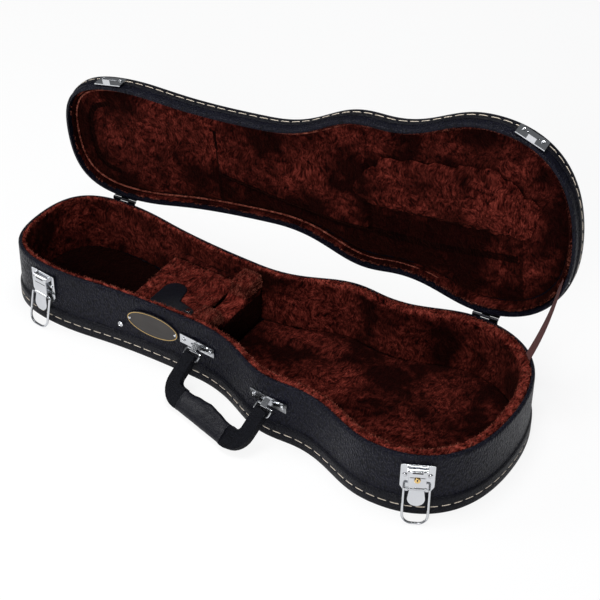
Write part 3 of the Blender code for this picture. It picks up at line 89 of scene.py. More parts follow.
# STUDIO
# A white table that runs up into a white background, lit by wide soft lamps.
# The case keeps a faint shadow on the table, as on a light table in a studio.
WORLD_TINT = (0.93, 0.96, 1.0)
WORLD_LIGHT = 0.18
WHITE = (1.0, 1.0, 1.0)
TABLE_REACH = 6.0
TABLE_DROP = 0.0004
TABLE_TINT = (0.8, 0.8, 0.81)
TABLE_GLOW = 0.86


def material_of(name):
    """A new material with its node tree and its shader."""
    material = bpy.data.materials.new(name)
    material.use_nodes = True
    return material, material.node_tree, material.node_tree.nodes["Principled BSDF"]


def wire(tree, socket, value):
    """Sets a socket to a number or a colour, or links it to a socket of another node."""
    if isinstance(value, bpy.types.NodeSocket):
        tree.links.new(value, socket)
    elif isinstance(value, tuple) and socket.type == "RGBA":
        socket.default_value = (*value, 1.0)
    else:
        socket.default_value = value


def add_node(tree, kind, inputs=None, **settings):
    """A shader node with its settings, and its inputs as values or sockets."""
    made = tree.nodes.new("ShaderNode" + kind)
    for key, value in settings.items():
        setattr(made, key, value)
    for key, value in (inputs or {}).items():
        wire(tree, made.inputs[key], value)
    return made


def math_node(tree, operation, first, second, clamp=False):
    """What one Math node makes of two sockets or numbers."""
    inputs = {0: first, 1: second}
    return add_node(tree, "Math", inputs, operation=operation, use_clamp=clamp).outputs[0]


def times(tree, first, second):
    """The product of two sockets or numbers."""
    return math_node(tree, "MULTIPLY", first, second)


world = bpy.data.worlds.new("studio")
world.use_nodes = True
scene.world = world
tree = world.node_tree
plain = tree.nodes["Background"]
wire(tree, plain.inputs["Color"], WORLD_TINT)
plain.inputs["Strength"].default_value = WORLD_LIGHT
white = add_node(tree, "Background", {"Color": WHITE})
path = add_node(tree, "LightPath").outputs
seen = math_node(tree, "MAXIMUM", path["Is Camera Ray"], path["Is Transmission Ray"])
pick = add_node(tree, "MixShader", {"Fac": seen, 1: plain.outputs[0], 2: white.outputs[0]})
wire(tree, tree.nodes["World Output"].inputs["Surface"], pick.outputs[0])

floor_mesh = bpy.data.meshes.new("table")
corners = [(x * TABLE_REACH, y * TABLE_REACH, -TABLE_DROP) for x, y in ((-1, -1), (1, -1), (1, 1), (-1, 1))]
floor_mesh.from_pydata(corners, [], [(0, 1, 2, 3)])
floor = bpy.data.objects.new("table", floor_mesh)
scene.collection.objects.link(floor)
paper, tree, shader = material_of("white_paper")
wire(tree, shader.inputs["Base Color"], TABLE_TINT)
shader.inputs["Roughness"].default_value = 0.7
glow = add_node(tree, "Emission", {"Color": WHITE})
share = times(tree, add_node(tree, "LightPath").outputs["Is Camera Ray"], TABLE_GLOW)
blend = add_node(tree, "MixShader", {"Fac": share, 1: shader.outputs[0], 2: glow.outputs[0]})
wire(tree, tree.nodes["Material Output"].inputs["Surface"], blend.outputs[0])
floor_mesh.materials.append(paper)


def lamp(name, place, aim, size, power):
    """A soft lamp that faces a point."""
    light = bpy.data.lights.new(name, "AREA")
    light.shape = "RECTANGLE"
    light.size, light.size_y = size
    light.energy = power
    holder = bpy.data.objects.new(name, light)
    holder.location = place
    holder.rotation_euler = (Vector(aim) - Vector(place)).to_track_quat("-Z", "Y").to_euler()
    scene.collection.objects.link(holder)


lamp("key_lamp", (0.7, -1.9, 1.35), (0.0, 0.0, 0.12), (0.7, 0.7), 38.0)
lamp("left_lamp", (-1.7, -0.8, 1.2), (0.0, 0.0, 0.08), (0.8, 1.0), 14.0)
lamp("top_lamp", (-0.1, 0.1, 2.2), (0.05, 0.0, 0.05), (0.9, 0.7), 30.0)

# TRAY WALL
# A bent plywood wall under black pebbled leatherette, glued round a rolled top edge.
# The outline is a long figure with a narrow head end and a round lower bout.
LENGTH = 0.650

# Each station is a share of the length, and the width there.
HEAD, NECK, UPPER = (0.1385, 0.1586), (0.4315, 0.1326), (0.6246, 0.199)
WAIST, LOWER = (0.6738, 0.1954), (0.8389, 0.248)
# Each stretch says how far its curve runs level at its two ends, and how many points it has.
STRETCHES = ((0.27, 0.67, 28), (0.52, 0.36, 24), (0.38, 0.35, 8), (0.42, 0.38, 20))
NOSE_CURVE, NOSE_POINTS = (0.66, 0.78), 40
TAIL_CURVE, TAIL_POINTS = (0.43, 0.83), 44
WALL = 0.0042
DRAFT = 0.001
TRAY_HEIGHT = 0.080
RIM_RADIUS = 0.0030
RIM_STEPS = 7
CORNER = math.radians(42)
BEVEL_FROM = math.radians(35)
WELD = 0.00002


def curve_points(a, b, c, d, count):
    """One cubic stretch of the outline, without its end."""
    t = np.linspace(0.0, 1.0, count, endpoint=False)[:, None]
    a, b, c, d = (np.array(p, float) for p in (a, b, c, d))
    return (1 - t) ** 3 * a + 3 * t * (1 - t) ** 2 * b + 3 * t * t * (1 - t) * c + t**3 * d


def rim_outline():
    """The rim seen from above, from the nose along the back to the tail and along the front."""
    nose, tail = -LENGTH / 2, LENGTH / 2
    stations = [(nose + LENGTH * share, width / 2) for share, width in (HEAD, NECK, UPPER, WAIST, LOWER)]
    head, lower = stations[0], stations[-1]
    leaving = (nose, head[1] * NOSE_CURVE[0])
    reaching = (head[0] - (head[0] - nose) * NOSE_CURVE[1], head[1])
    half = [curve_points((nose, 0), leaving, reaching, head, NOSE_POINTS)]
    for a, b, (first, last, count) in zip(stations, stations[1:], STRETCHES):
        run = b[0] - a[0]
        half.append(curve_points(a, (a[0] + run * first, a[1]), (b[0] - run * last, b[1]), b, count))
    leaving = (lower[0] + (tail - lower[0]) * TAIL_CURVE[0], lower[1])
    half.append(curve_points(lower, leaving, (tail, lower[1] * TAIL_CURVE[1]), (tail, 0), TAIL_POINTS))
    half = np.concatenate(half)
    return np.concatenate([half, [(tail, 0.0)], half[:0:-1] * (1, -1)])


RIM = rim_outline()
ALONG = np.roll(RIM, -1, axis=0) - np.roll(RIM, 1, axis=0)
OUTWARD = np.stack([-ALONG[:, 1], ALONG[:, 0]], axis=1)
OUTWARD /= np.linalg.norm(OUTWARD, axis=1)[:, None]
COUNT = len(RIM)


def add_piece(name, points, faces, material, body):
    """A mesh piece in the frame's metres that rides on a body."""
    mesh = bpy.data.meshes.new(name)
    mesh.from_pydata([tuple(p) for p in points], [], faces)
    work = bmesh.new()
    work.from_mesh(mesh)
    bmesh.ops.recalc_face_normals(work, faces=work.faces)
    work.to_mesh(mesh)
    work.free()
    mesh.shade_smooth()
    mesh.set_sharp_from_angle(angle=CORNER)
    mesh.materials.append(material)
    piece = bpy.data.objects.new(name, mesh)
    scene.collection.objects.link(piece)
    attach(piece, body)
    return piece


def ring_faces(sections, size):
    """Quads of closed sections joined one to the next and round to the first."""
    faces = []
    for i in range(sections):
        j = (i + 1) % sections
        for k in range(size):
            m = (k + 1) % size
            faces.append((i * size + k, i * size + m, j * size + m, j * size + k))
    return faces


def shell_ring(name, profile, material, body, place=None):
    """A section carried round the rim, as offsets outward and heights."""
    points = []
    for (x, y), (nx, ny) in zip(RIM, OUTWARD):
        for offset, z in profile:
            points.append((x + nx * offset, y + ny * offset, z))
    if place:
        points = [place(p) for p in points]
    return add_piece(name, points, ring_faces(COUNT, len(profile)), material, body)


def rounded_edge(centre, radius, start, end, steps):
    """Points of a quarter or half round in a section, in degrees."""
    turns = np.radians(np.linspace(start, end, steps))
    return [(centre[0] + radius * math.cos(a), centre[1] + radius * math.sin(a)) for a in turns]


def new_group(name, inputs, outputs):
    """A node group of numbers in and out, and the sockets inside it."""
    group = bpy.data.node_groups.new(name, "ShaderNodeTree")
    for label, value in inputs.items():
        made = group.interface.new_socket(label, in_out="INPUT", socket_type="NodeSocketFloat")
        made.default_value = value
    for label in outputs:
        group.interface.new_socket(label, in_out="OUTPUT", socket_type="NodeSocketFloat")
    return group, group.nodes.new("NodeGroupInput").outputs, group.nodes.new("NodeGroupOutput").inputs


def ramp(tree, value, low, gain, clamp=True):
    """How far a value stands over a low one, times a gain."""
    return math_node(tree, "MULTIPLY", math_node(tree, "SUBTRACT", value, low), gain, clamp=clamp)


def total(tree, *parts):
    """The sum of some sockets and numbers."""
    made = parts[0]
    for part in parts[1:]:
        made = math_node(tree, "ADD", made, part)
    return made


def mixed(tree, share, first, second):
    """A colour between two, by a share of the second."""
    inputs = {"Factor": share, "A": first, "B": second}
    return add_node(tree, "Mix", inputs, data_type="RGBA").outputs["Result"]


def noise_at(tree, place, scale, detail=2.0, rough=0.5):
    """Noise from 0 to 1 at a place."""
    inputs = {"Vector": place, "Scale": scale, "Detail": detail, "Roughness": rough}
    return add_node(tree, "TexNoise", inputs).outputs["Fac"]


def warped(tree, place, scale, reach):
    """A place that noise pushes about, so that a pattern on it isn't regular."""
    bend = add_node(tree, "TexNoise", {"Vector": place, "Scale": scale}).outputs["Color"]
    shift = add_node(tree, "VectorMath", {0: bend, "Scale": reach}, operation="SCALE").outputs[0]
    return add_node(tree, "VectorMath", {0: place, 1: shift}, operation="ADD").outputs[0]


def finish_shader(tree, shader, colour, roughness, height, depth, strength=1.0):
    """Joins a colour, a roughness and a relief of some depth to a shader."""
    wire(tree, shader.inputs["Base Color"], colour)
    wire(tree, shader.inputs["Roughness"], roughness)
    bump = add_node(tree, "Bump", {"Strength": strength, "Distance": depth, "Height": height})
    wire(tree, shader.inputs["Normal"], bump.outputs["Normal"])


def build_grain():
    """Pebbled grain: rounded cells with fine creases between them."""
    group, inputs, outputs = new_group("pebble_grain", {"Scale": 700.0, "Squeeze": 0.6}, ("Height", "Crease"))
    place = add_node(group, "TexCoord").outputs["Object"]
    shape = add_node(group, "CombineXYZ", {"X": 1.0, "Y": 1.0, "Z": inputs["Squeeze"]}).outputs[0]
    squeezed = add_node(group, "VectorMath", {0: place, 1: shape}, operation="MULTIPLY").outputs[0]
    moved = warped(group, squeezed, 260.0, 0.0022)
    pebbles = {"Vector": moved, "Scale": inputs["Scale"], "Smoothness": 0.35}
    gap = add_node(group, "TexVoronoi", pebbles, feature="SMOOTH_F1").outputs["Distance"]
    dome = math_node(group, "SUBTRACT", 1.0, gap, clamp=True)
    fine = noise_at(group, moved, times(group, inputs["Scale"], 2.3))
    wire(group, outputs["Height"], total(group, dome, times(group, fine, 0.25)))
    wire(group, outputs["Crease"], ramp(group, gap, 0.35, 2.2))
    return group


GRAIN = build_grain()


def grained(name, base, high, roughness, scale, squeeze, depth, gloss):
    """A black hide with pebbled grain: lighter, shinier tops, dull creases darkened as painted shade, and a
    slow random cloud in its tone.
    """
    material, tree, shader = material_of(name)
    grain = add_node(tree, "Group", {"Scale": scale, "Squeeze": squeeze}, node_tree=GRAIN).outputs
    cloud = noise_at(tree, add_node(tree, "TexCoord").outputs["Object"], 22.0, 3.0, 0.6)
    # Painted shade: the creases between the pebbles take the dark colour, and a slow cloud varies the tone at
    # random.
    crease_shade_and_cloud = math_node(tree, "ADD", grain["Crease"], ramp(tree, cloud, 0.5, 0.7, clamp=False), clamp=True)
    creased = times(tree, grain["Crease"], 0.22)
    dull = total(tree, roughness, creased, ramp(tree, cloud, 0.5, 0.18, clamp=False))
    shader.inputs["Specular IOR Level"].default_value = gloss
    finish_shader(tree, shader, mixed(tree, crease_shade_and_cloud, high, base), dull, grain["Height"], depth)
    return material


HIDE_DARK, HIDE_LIGHT = (0.0014, 0.0014, 0.0030), (0.0050, 0.0052, 0.0112)
LEATHERETTE = grained("leatherette", HIDE_DARK, HIDE_LIGHT, 0.25, 560.0, 0.45, 0.0010, 0.10)


def tray_section():
    """The wall leans out towards its foot and rolls over at its rim."""
    edge = rounded_edge((-RIM_RADIUS, TRAY_HEIGHT - RIM_RADIUS), RIM_RADIUS, 0, 90, RIM_STEPS)
    side = [(DRAFT * (1 - z / TRAY_HEIGHT), z) for z in np.linspace(0.0, TRAY_HEIGHT - 2 * RIM_RADIUS, 6)]
    return side + edge + [(-WALL, TRAY_HEIGHT), (-WALL, 0.03), (-WALL, 0.0)]


def finish_node(name, material, edge=0.0, steps=2):
    """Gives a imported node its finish, and rounds its sharp edges."""
    node = nodes[name]
    for index in range(len(node.data.materials)):
        node.data.materials[index] = material
    if edge:
        weld = node.modifiers.new("weld", "WELD")
        weld.merge_threshold = WELD
        soft = node.modifiers.new("edge", "BEVEL")
        soft.width = edge
        soft.segments = steps
        soft.limit_method = "ANGLE"
        soft.angle_limit = BEVEL_FROM
        node.modifiers.new("shade", "WEIGHTED_NORMAL")


tray_shell = shell_ring("tray_shell", tray_section(), LEATHERETTE, "tray")
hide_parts("tray_wall")
finish_node("tray_floor", LEATHERETTE)

# TRAY BAND
# A strip of smoother leatherette round the foot of the tray, padded so that it stands proud.
# A row of tan thread runs along its middle in long lockstitches that pull it in.
BAND_HEIGHT = 0.024
BAND_PROUD = 0.0020
BAND_SEAM = BAND_HEIGHT * 0.5
BAND_GLUE = 0.0002
STITCH_LENGTH = 0.0116
STITCH_GAP = 0.0022
STITCH_DIVE = 0.0010
STITCH_LEAN = 0.00018
STITCH_RINGS, STITCH_SIDES = 11, 8
THREAD = 0.00040
THREAD_SUNK = 0.00042
SEAM_DEPTH = 0.0006
SEAM_HALF = 0.0012

BINDING_DARK, BINDING_LIGHT = (0.0014, 0.0014, 0.0024), (0.0042, 0.0044, 0.0080)
BINDING = grained("binding", BINDING_DARK, BINDING_LIGHT, 0.25, 900.0, 0.8, 0.0005, 0.10)


def proud_section(low, high, seam, inner_low, inner_high, proud):
    """A padded strip's section with rounded edges and a shallow seam line."""
    heights = sorted(set(np.linspace(low, high, 15)) | {seam - SEAM_HALF, seam, seam + SEAM_HALF})
    points = []
    for z in heights:
        share = (z - low) / (high - low)
        swell = proud * (1 - abs(2 * share - 1) ** 6) ** 0.5
        dent = SEAM_DEPTH * math.exp(-((z - seam) / 0.0010) ** 2)
        base = inner_low + (inner_high - inner_low) * share
        points.append((base + swell - dent, z))
    return points + [(inner_high, high), (inner_low, low)]


def tube_faces(first, rings, sides):
    """Quads along a tube from its first point."""
    faces = []
    for low in range(first, first + (rings - 1) * sides, sides):
        for side in range(sides):
            after = (side + 1) % sides
            faces.append((low + side, low + after, low + sides + after, low + sides + side))
    return faces


def capped_tube(first, rings, sides):
    """A tube's quads, and a face over each of its ends."""
    start, end = range(first, first + sides), range(first + (rings - 1) * sides, first + rings * sides)
    return tube_faces(first, rings, sides) + [tuple(reversed(start)), tuple(end)]


def thread(name, colour, dark):
    """Waxed thread: a tan cord with darker twist lines."""
    material, tree, shader = material_of(name)
    wave = {"Vector": add_node(tree, "TexCoord").outputs["Object"], "Scale": 420.0, "Distortion": 1.5}
    twist = add_node(tree, "TexWave", wave, bands_direction="DIAGONAL").outputs["Fac"]
    finish_shader(tree, shader, mixed(tree, twist, dark, colour), 0.6, twist, 0.0002)
    return material


THREAD_TAN = thread("tan_thread", (0.78, 0.69, 0.58), (0.50, 0.42, 0.33))


def stitches(name, offset, z, body, place=None):
    """A row of lockstitches: each is a short thread that dives into the strip at its two ends."""
    line, outward = (np.concatenate([way, way[:1]]) for way in (RIM + OUTWARD * offset, OUTWARD))
    run = np.concatenate([[0.0], np.cumsum(np.linalg.norm(np.diff(line, axis=0), axis=1))])
    count = round(run[-1] / (STITCH_LENGTH + STITCH_GAP))
    pitch = run[-1] / count
    turns = [2 * math.pi * side / STITCH_SIDES for side in range(STITCH_SIDES)]
    points, faces = [], []
    for number in range(count):
        lean = STITCH_LEAN * math.sin(number * 2.4)
        faces += capped_tube(len(points), STITCH_RINGS, STITCH_SIDES)
        for ring in range(STITCH_RINGS):
            t = ring / (STITCH_RINGS - 1)
            end = 2 * t - 1
            at = number * pitch + t * (pitch - STITCH_GAP)
            x, y = (np.interp(at, run, line[:, k]) for k in (0, 1))
            nx, ny = (np.interp(at, run, outward[:, k]) for k in (0, 1))
            dive = STITCH_DIVE * abs(end) ** 9
            slim = THREAD * (1 - 0.3 * abs(end) ** 8)
            for angle in turns:
                out = slim * 0.9 * math.cos(angle) - dive
                rise = slim * 1.25 * math.sin(angle) + lean * end
                points.append((x + nx * out, y + ny * out, z + rise))
    if place:
        points = [place(p) for p in points]
    return add_piece(name, points, faces, THREAD_TAN, body)


BAND_FOOT, BAND_HEAD = DRAFT + BAND_GLUE, DRAFT * 0.7 + BAND_GLUE
band_section = proud_section(0.0, BAND_HEIGHT, BAND_SEAM, BAND_FOOT, BAND_HEAD, BAND_PROUD)
tray_strip = shell_ring("tray_strip", band_section, BINDING, "tray")
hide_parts("tray_band")
stitches("tray_stitching", DRAFT * 0.85 + BAND_PROUD - SEAM_DEPTH + THREAD_SUNK, BAND_SEAM, "tray")

# PLUSH LININGS OF THE TRAY
# Foam pads under a dark red-brown plush with a short pile, glued into the shell.
# Some pads are filled out as cloth over foam, and each is then brushed so that the pile lies in tufts.
PILE = ((0.0022, 0.0002, 0.0002), (0.045, 0.0032, 0.0024), (0.29, 0.052, 0.036))
PILE_IN_SHADE = ((0.0012, 0.0001, 0.0001), (0.014, 0.0009, 0.0007), (0.10, 0.015, 0.010))
# Painted highlight: paler pile colours for the tufts and the welt along the edges.
PILE_PAINTED_HIGHLIGHT = ((0.02, 0.003, 0.0022), (0.115, 0.019, 0.012), (0.46, 0.16, 0.11))
PILE_SHEEN = (0.7, 0.16, 0.1)
PILE_RELIEF = 0.0032


def build_pile():
    """Short pile: slow changes of lay moved by a painted light shift, soft clumps, streaks that follow the
    way it was brushed, and a painted highlight on up-facing tops.
    """
    defaults = {"Clump": 130.0, "Streak": 1050.0, "Nap": 0.42, "Painted Light Shift": 0.0, "Painted Highlight": 9.0, "Painted Highlight Span": 0.01}
    group, inputs, outputs = new_group("short_pile", defaults, ("Height", "Tuft", "Lay", "Painted Highlight"))
    place = add_node(group, "TexCoord").outputs
    moved = warped(group, place["Object"], 24.0, 0.03)
    nap = add_node(group, "CombineXYZ", {"X": 1.0, "Y": inputs["Nap"], "Z": inputs["Nap"]}).outputs[0]
    combed = add_node(group, "VectorMath", {0: moved, 1: nap}, operation="MULTIPLY").outputs[0]
    clump = noise_at(group, moved, inputs["Clump"])
    tuft = noise_at(group, combed, times(group, inputs["Streak"], 0.45))
    streak = noise_at(group, combed, inputs["Streak"])
    layers = ((clump, 0.8), (tuft, 0.8), (streak, 0.6))
    height = total(group, *(times(group, layer, part) for layer, part in layers))
    slow = total(group, noise_at(group, place["Object"], 15.0, 3.0, 0.6), inputs["Painted Light Shift"])
    normal_z, object_z = (
        add_node(group, "SeparateXYZ", {0: place[label]}).outputs["Z"] for label in ("Normal", "Object")
    )
    # Painted highlight: faces that look up and stand above a given height get a share that lightens the pile.
    high = math_node(group, "SUBTRACT", object_z, inputs["Painted Highlight"])
    high = math_node(group, "DIVIDE", high, inputs["Painted Highlight Span"], clamp=True)
    wire(group, outputs["Height"], height)
    wire(group, outputs["Tuft"], ramp(group, height, 0.80, 1.75))
    wire(group, outputs["Lay"], ramp(group, slow, 0.40, 4.2))
    wire(group, outputs["Painted Highlight"], times(group, ramp(group, normal_z, 0.1, 1.5), high))
    return group


PILE_GROUP = build_pile()


def plush(name, lean, highlight_heights=None, colours=PILE):
    """Dark roots, a red-brown body and pale tips where the lay lifts them; lean shifts the lay as painted
    light or shade, and highlight_heights give a painted highlight on up-facing tops.
    """
    material, tree, shader = material_of(name)
    sockets = {"Painted Light Shift": lean}
    if highlight_heights:
        sockets |= {"Painted Highlight": highlight_heights[0], "Painted Highlight Span": highlight_heights[1] - highlight_heights[0]}
    pile = add_node(tree, "Group", sockets, node_tree=PILE_GROUP).outputs
    deep, middle, tip = colours
    # Painted highlight: the up-facing tops get a lighter pile body and paler tips.
    lift_and_highlight = total(tree, times(tree, pile["Lay"], 0.95), 0.1)
    lift_and_highlight = math_node(tree, "MAXIMUM", lift_and_highlight, times(tree, pile["Painted Highlight"], 1.6))
    body = mixed(tree, times(tree, pile["Tuft"], lift_and_highlight), deep, middle)
    share = total(tree, times(tree, pile["Lay"], 0.56), 0.02)
    share = total(tree, share, times(tree, pile["Painted Highlight"], 0.55))
    ends = times(tree, math_node(tree, "POWER", pile["Tuft"], 2.2), share)
    shader.inputs["Specular IOR Level"].default_value = 0.02
    shader.inputs["Sheen Weight"].default_value = 0.03
    shader.inputs["Sheen Roughness"].default_value = 0.5
    wire(tree, shader.inputs["Sheen Tint"], PILE_SHEEN)
    finish_shader(tree, shader, mixed(tree, ends, body, tip), 0.95, pile["Height"], PILE_RELIEF)
    return material


# Copies of one plush: each lean shifts the lay, so a copy is lighter or darker as painted light or shade; the
# wall, rest and cover copies add a painted highlight on their up-facing tops.
PLUSH = plush("plush", -0.03)
PLUSH_PAINTED_LIGHT = plush("plush_painted_light", 0.09)
PLUSH_PAINTED_DARK = plush("plush_painted_dark", -0.12)
PLUSH_WALL = plush("plush_wall", 0.03, (0.067, 0.077))
PLUSH_REST = plush("plush_rest", 0.02, (0.030, 0.050))
PLUSH_COVER = plush("plush_cover", -0.06, (0.046, 0.062))
PLUSH_SHADE = plush("plush_shade", -0.2, None, PILE_IN_SHADE)
PLUSH_HIGHLIGHT = plush("plush_painted_highlight", 0.3, None, PILE_PAINTED_HIGHLIGHT)


def copied(name, node):
    """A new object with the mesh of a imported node, welded along its edges."""
    mesh = nodes[node].data.copy()
    piece = bpy.data.objects.new(name, mesh)
    scene.collection.objects.link(piece)
    mesh.materials.clear()
    work = bmesh.new()
    work.from_mesh(mesh)
    bmesh.ops.remove_doubles(work, verts=work.verts, dist=WELD)
    work.to_mesh(mesh)
    work.free()
    return piece


def apply_modifiers(piece):
    """Bakes the piece's modifiers into its mesh."""
    bpy.context.view_layer.update()
    graph = bpy.context.evaluated_depsgraph_get()
    made = bpy.data.meshes.new_from_object(piece.evaluated_get(graph), depsgraph=graph)
    piece.modifiers.clear()
    piece.data = made


def remeshed(piece, size, smoothing):
    """An even grid over the piece, with its corners softened."""
    grid = piece.modifiers.new("grid", "REMESH")
    grid.mode = "VOXEL"
    grid.voxel_size = size
    soft = piece.modifiers.new("soft", "SMOOTH")
    soft.factor = 0.5
    soft.iterations = smoothing
    apply_modifiers(piece)


def vertices_of(mesh, kind="co"):
    """The places or the normals of a mesh's vertices, as rows of three numbers."""
    values = np.empty(len(mesh.vertices) * 3)
    mesh.vertices.foreach_get(kind, values)
    return values.reshape(-1, 3)


def set_vertices(mesh, points):
    """Moves a mesh's vertices."""
    mesh.vertices.foreach_set("co", points.ravel())
    mesh.update()


CLOTH = {
    "quality": 5,
    "mass": 0.3,
    "tension_stiffness": 12.0,
    "compression_stiffness": 12.0,
    "shear_stiffness": 5.0,
    "bending_stiffness": 0.4,
    "use_pressure": True,
}
CLOTH_STEPS = 20


def filled_out(piece, pressure, most):
    """Blows the pad up as cloth over foam, and keeps each point within a short way of where it was."""
    before = vertices_of(piece.data)
    cloth = piece.modifiers.new("cloth", "CLOTH")
    for setting, value in CLOTH.items():
        setattr(cloth.settings, setting, value)
    cloth.settings.uniform_pressure_force = pressure
    cloth.settings.effector_weights.gravity = 0.0
    cloth.collision_settings.use_collision = False
    for step in range(1, CLOTH_STEPS + 1):
        scene.frame_set(step)
    apply_modifiers(piece)
    scene.frame_set(1)
    moved = vertices_of(piece.data) - before
    far = np.linalg.norm(moved, axis=1)
    keep = np.minimum(1.0, most / np.maximum(far, 1e-9))
    set_vertices(piece.data, before + moved * keep[:, None])


WIDE_LAY, CLUMP, TUFT = 28.0, 120.0, 330.0
CLUMP_SHIFT = Vector((3.0, 7.0, 1.0))


def brushed(piece, amount, reach, face):
    """Lays the pile in tufts: shown faces rise and fall, hidden faces stay where they were."""
    points, normals = vertices_of(piece.data), vertices_of(piece.data, "normal")
    shown = np.clip(face(points, normals), 0.0, 1.0)
    moved = points.copy()
    for index in np.nonzero(shown > 0.01)[0]:
        place = Vector(points[index])
        tuft = 0.65 * noise.noise(place * CLUMP + CLUMP_SHIFT) + 0.5 * noise.noise(place * TUFT)
        rise = reach * noise.noise(place * WIDE_LAY) + amount * tuft
        moved[index] += normals[index] * rise * shown[index]
    set_vertices(piece.data, moved)


SPINE = (-0.23, 0.2)


def inward_of_ring(points, normals):
    """How much a point faces the middle of the case, or up."""
    middle = np.zeros_like(points)
    middle[:, 0] = np.clip(points[:, 0], *SPINE)
    to_middle = middle - points
    to_middle[:, 2] = 0.0
    to_middle /= np.maximum(np.linalg.norm(to_middle, axis=1), 1e-6)[:, None]
    return np.maximum((normals * to_middle).sum(axis=1) * 1.6, normals[:, 2] * 1.3)


def facing(direction):
    """How much a point faces a direction."""
    return lambda points, normals: normals @ np.array(direction) * 1.5 + 0.2


def dressed(piece, material, body, node):
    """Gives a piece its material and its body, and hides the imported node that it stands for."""
    piece.data.materials.clear()
    piece.data.materials.append(material)
    piece.data.shade_smooth()
    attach(piece, body)
    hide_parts(node)


def plush_pad(
    name, node, voxel, smoothing, face,
    pile=PLUSH, body="tray", swell=None, rise=0.0007, reach=0.0008,
):
    """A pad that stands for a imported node. swell is a pressure, and how far it may move a point."""
    piece = copied(name, node)
    remeshed(piece, voxel, smoothing)
    if swell:
        filled_out(piece, *swell)
    finer = piece.modifiers.new("finer", "SUBSURF")
    finer.levels = finer.render_levels = 1
    apply_modifiers(piece)
    brushed(piece, rise, reach, face)
    dressed(piece, pile, body, node)
    return piece


def shaded(piece, chosen):
    """Turns the chosen faces of a pad to pile in shade."""
    piece.data.materials.append(PLUSH_SHADE)
    piece.data.polygons.foreach_set("material_index", np.array(chosen).astype(np.int32))


def both_sides(points, normals):
    """How much a point faces along the case, or up."""
    return np.maximum(np.abs(normals[:, 0]), normals[:, 2]) * 1.2


REST_CREST = 0.052
UP = facing((0, 0, 1))
tray_lining = plush_pad(
    "tray_side_lining", "tray_wall_padding", 0.0021, 3, inward_of_ring, PLUSH_WALL, reach=0.0009
)
plush_pad("head_floor_lining", "head_floor_padding", 0.0026, 2, UP, PLUSH_SHADE)
plush_pad("body_floor_cushion", "body_floor_padding", 0.0032, 4, UP, swell=(1.2, 0.0012))
neck_rest = plush_pad("neck_rest", "neck_cradle", 0.0034, 6, both_sides, PLUSH_REST, swell=(2.0, 0.0012))
shaded(neck_rest, [face.normal.x > 0.6 and face.center.z < REST_CREST for face in neck_rest.data.polygons])
plush_pad("compartment_wall", "compartment_partition", 0.0022, 2, lambda p, n: np.abs(n[:, 0]) + n[:, 2])
plush_pad("compartment_ledge", "compartment_shelf", 0.0022, 2, UP)
cover = plush_pad(
    "compartment_cover", "compartment_lid", 0.0030, 5, UP, PLUSH_COVER, "compartment_lid", (2.0, 0.0012)
)

TUFT_BEND = 0.42
TUFT_LONG, TUFT_THICK = (0.55, 1.15), (0.14, 0.22)
TUFT_RINGS = ((-0.12, 1.0), (0.5, 0.7))
TUFT_CORNERS = np.radians((0.0, 120.0, 240.0))
NAP_CRUSH = 0.0785


def nap_tufts(name, pad, count, shown, length, body, seed):
    """Tips of pile that stand up along a pad's edges, as small closed tapering tufts."""
    points, normals = vertices_of(pad.data), vertices_of(pad.data, "normal")
    chosen = np.nonzero(shown(points, normals))[0]
    draw = np.random.default_rng(seed)
    picked = draw.choice(chosen, size=min(count, len(chosen)), replace=False)
    made, faces = [], []
    for index in picked:
        out = normals[index]
        way = out + draw.normal(size=3) * TUFT_BEND
        way /= np.linalg.norm(way)
        side = np.cross(way, draw.normal(size=3))
        side /= np.linalg.norm(side)
        other = np.cross(way, side)
        long = length * draw.uniform(*TUFT_LONG)
        thick = length * draw.uniform(*TUFT_THICK)
        first = len(made)
        for along, wide in TUFT_RINGS:
            for turn in TUFT_CORNERS:
                across = (side * math.cos(turn) + other * math.sin(turn)) * thick * wide
                made.append(points[index] + way * along * long + across)
        made.append(points[index] + way * long + out * 0.1 * long)
        faces += [(first, first + 2, first + 1)] + tube_faces(first, 2, 3)
        faces += [(first + 3 + k, first + 3 + (k + 1) % 3, first + 6) for k in range(3)]
    # The tufts take the pale copy of the pile, a painted highlight along the edges.
    return add_piece(name, made, faces, PLUSH_HIGHLIGHT, body)


def near_tray_rim(points, normals):
    """Where the tray's lining shows over the rim."""
    return (points[:, 2] > NAP_CRUSH) & (normals[:, 2] > -0.2)


def top_of_rest(points, normals):
    """The neck rest's top and its side to the body."""
    return (points[:, 2] > 0.060) & (normals[:, 2] > -0.3) & (normals[:, 0] > -0.4)


rim_nap = nap_tufts("tray_lining_nap", tray_lining, 3400, near_tray_rim, 0.0021, "tray", 11)
nap_tufts("neck_rest_nap", neck_rest, 1500, top_of_rest, 0.0023, "tray", 12)
nap_tufts("cover_nap", cover, 900, lambda p, n: n[:, 2] > 0.1, 0.0017, "compartment_lid", 13)
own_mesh(rim_nap)

# LID SHELL
# The lid is made as the tray is, from bent ply under leatherette, with a stitched strip near its top.
# It stands open behind, so everything drawn on the closed lid is turned back about the hinge pins.
hinge = joints["lid_hinge"]
HINGE_POINT = Vector(hinge["pos_m"])
LID_TURN = Matrix.Rotation(-math.radians(hinge["range_deg"][1]), 3, Vector(hinge["axis"]))
LID_OUT = np.array(LID_TURN @ Vector((0, 0, 1)))
LID_HEIGHT = 0.0247
LID_RIM = TRAY_HEIGHT + 0.0006
LID_TOP = TRAY_HEIGHT + LID_HEIGHT
LID_CROWN = 0.0012
LID_BOARD = 0.0037
BOARD_TOP = LID_TOP - LID_CROWN
STRIP_LOW = LID_TOP - 0.0134
STRIP_GLUE = 0.0003
STRIP_PROUD = 0.0016
LID_SEAM = STRIP_LOW + (BOARD_TOP - STRIP_LOW) * 0.46


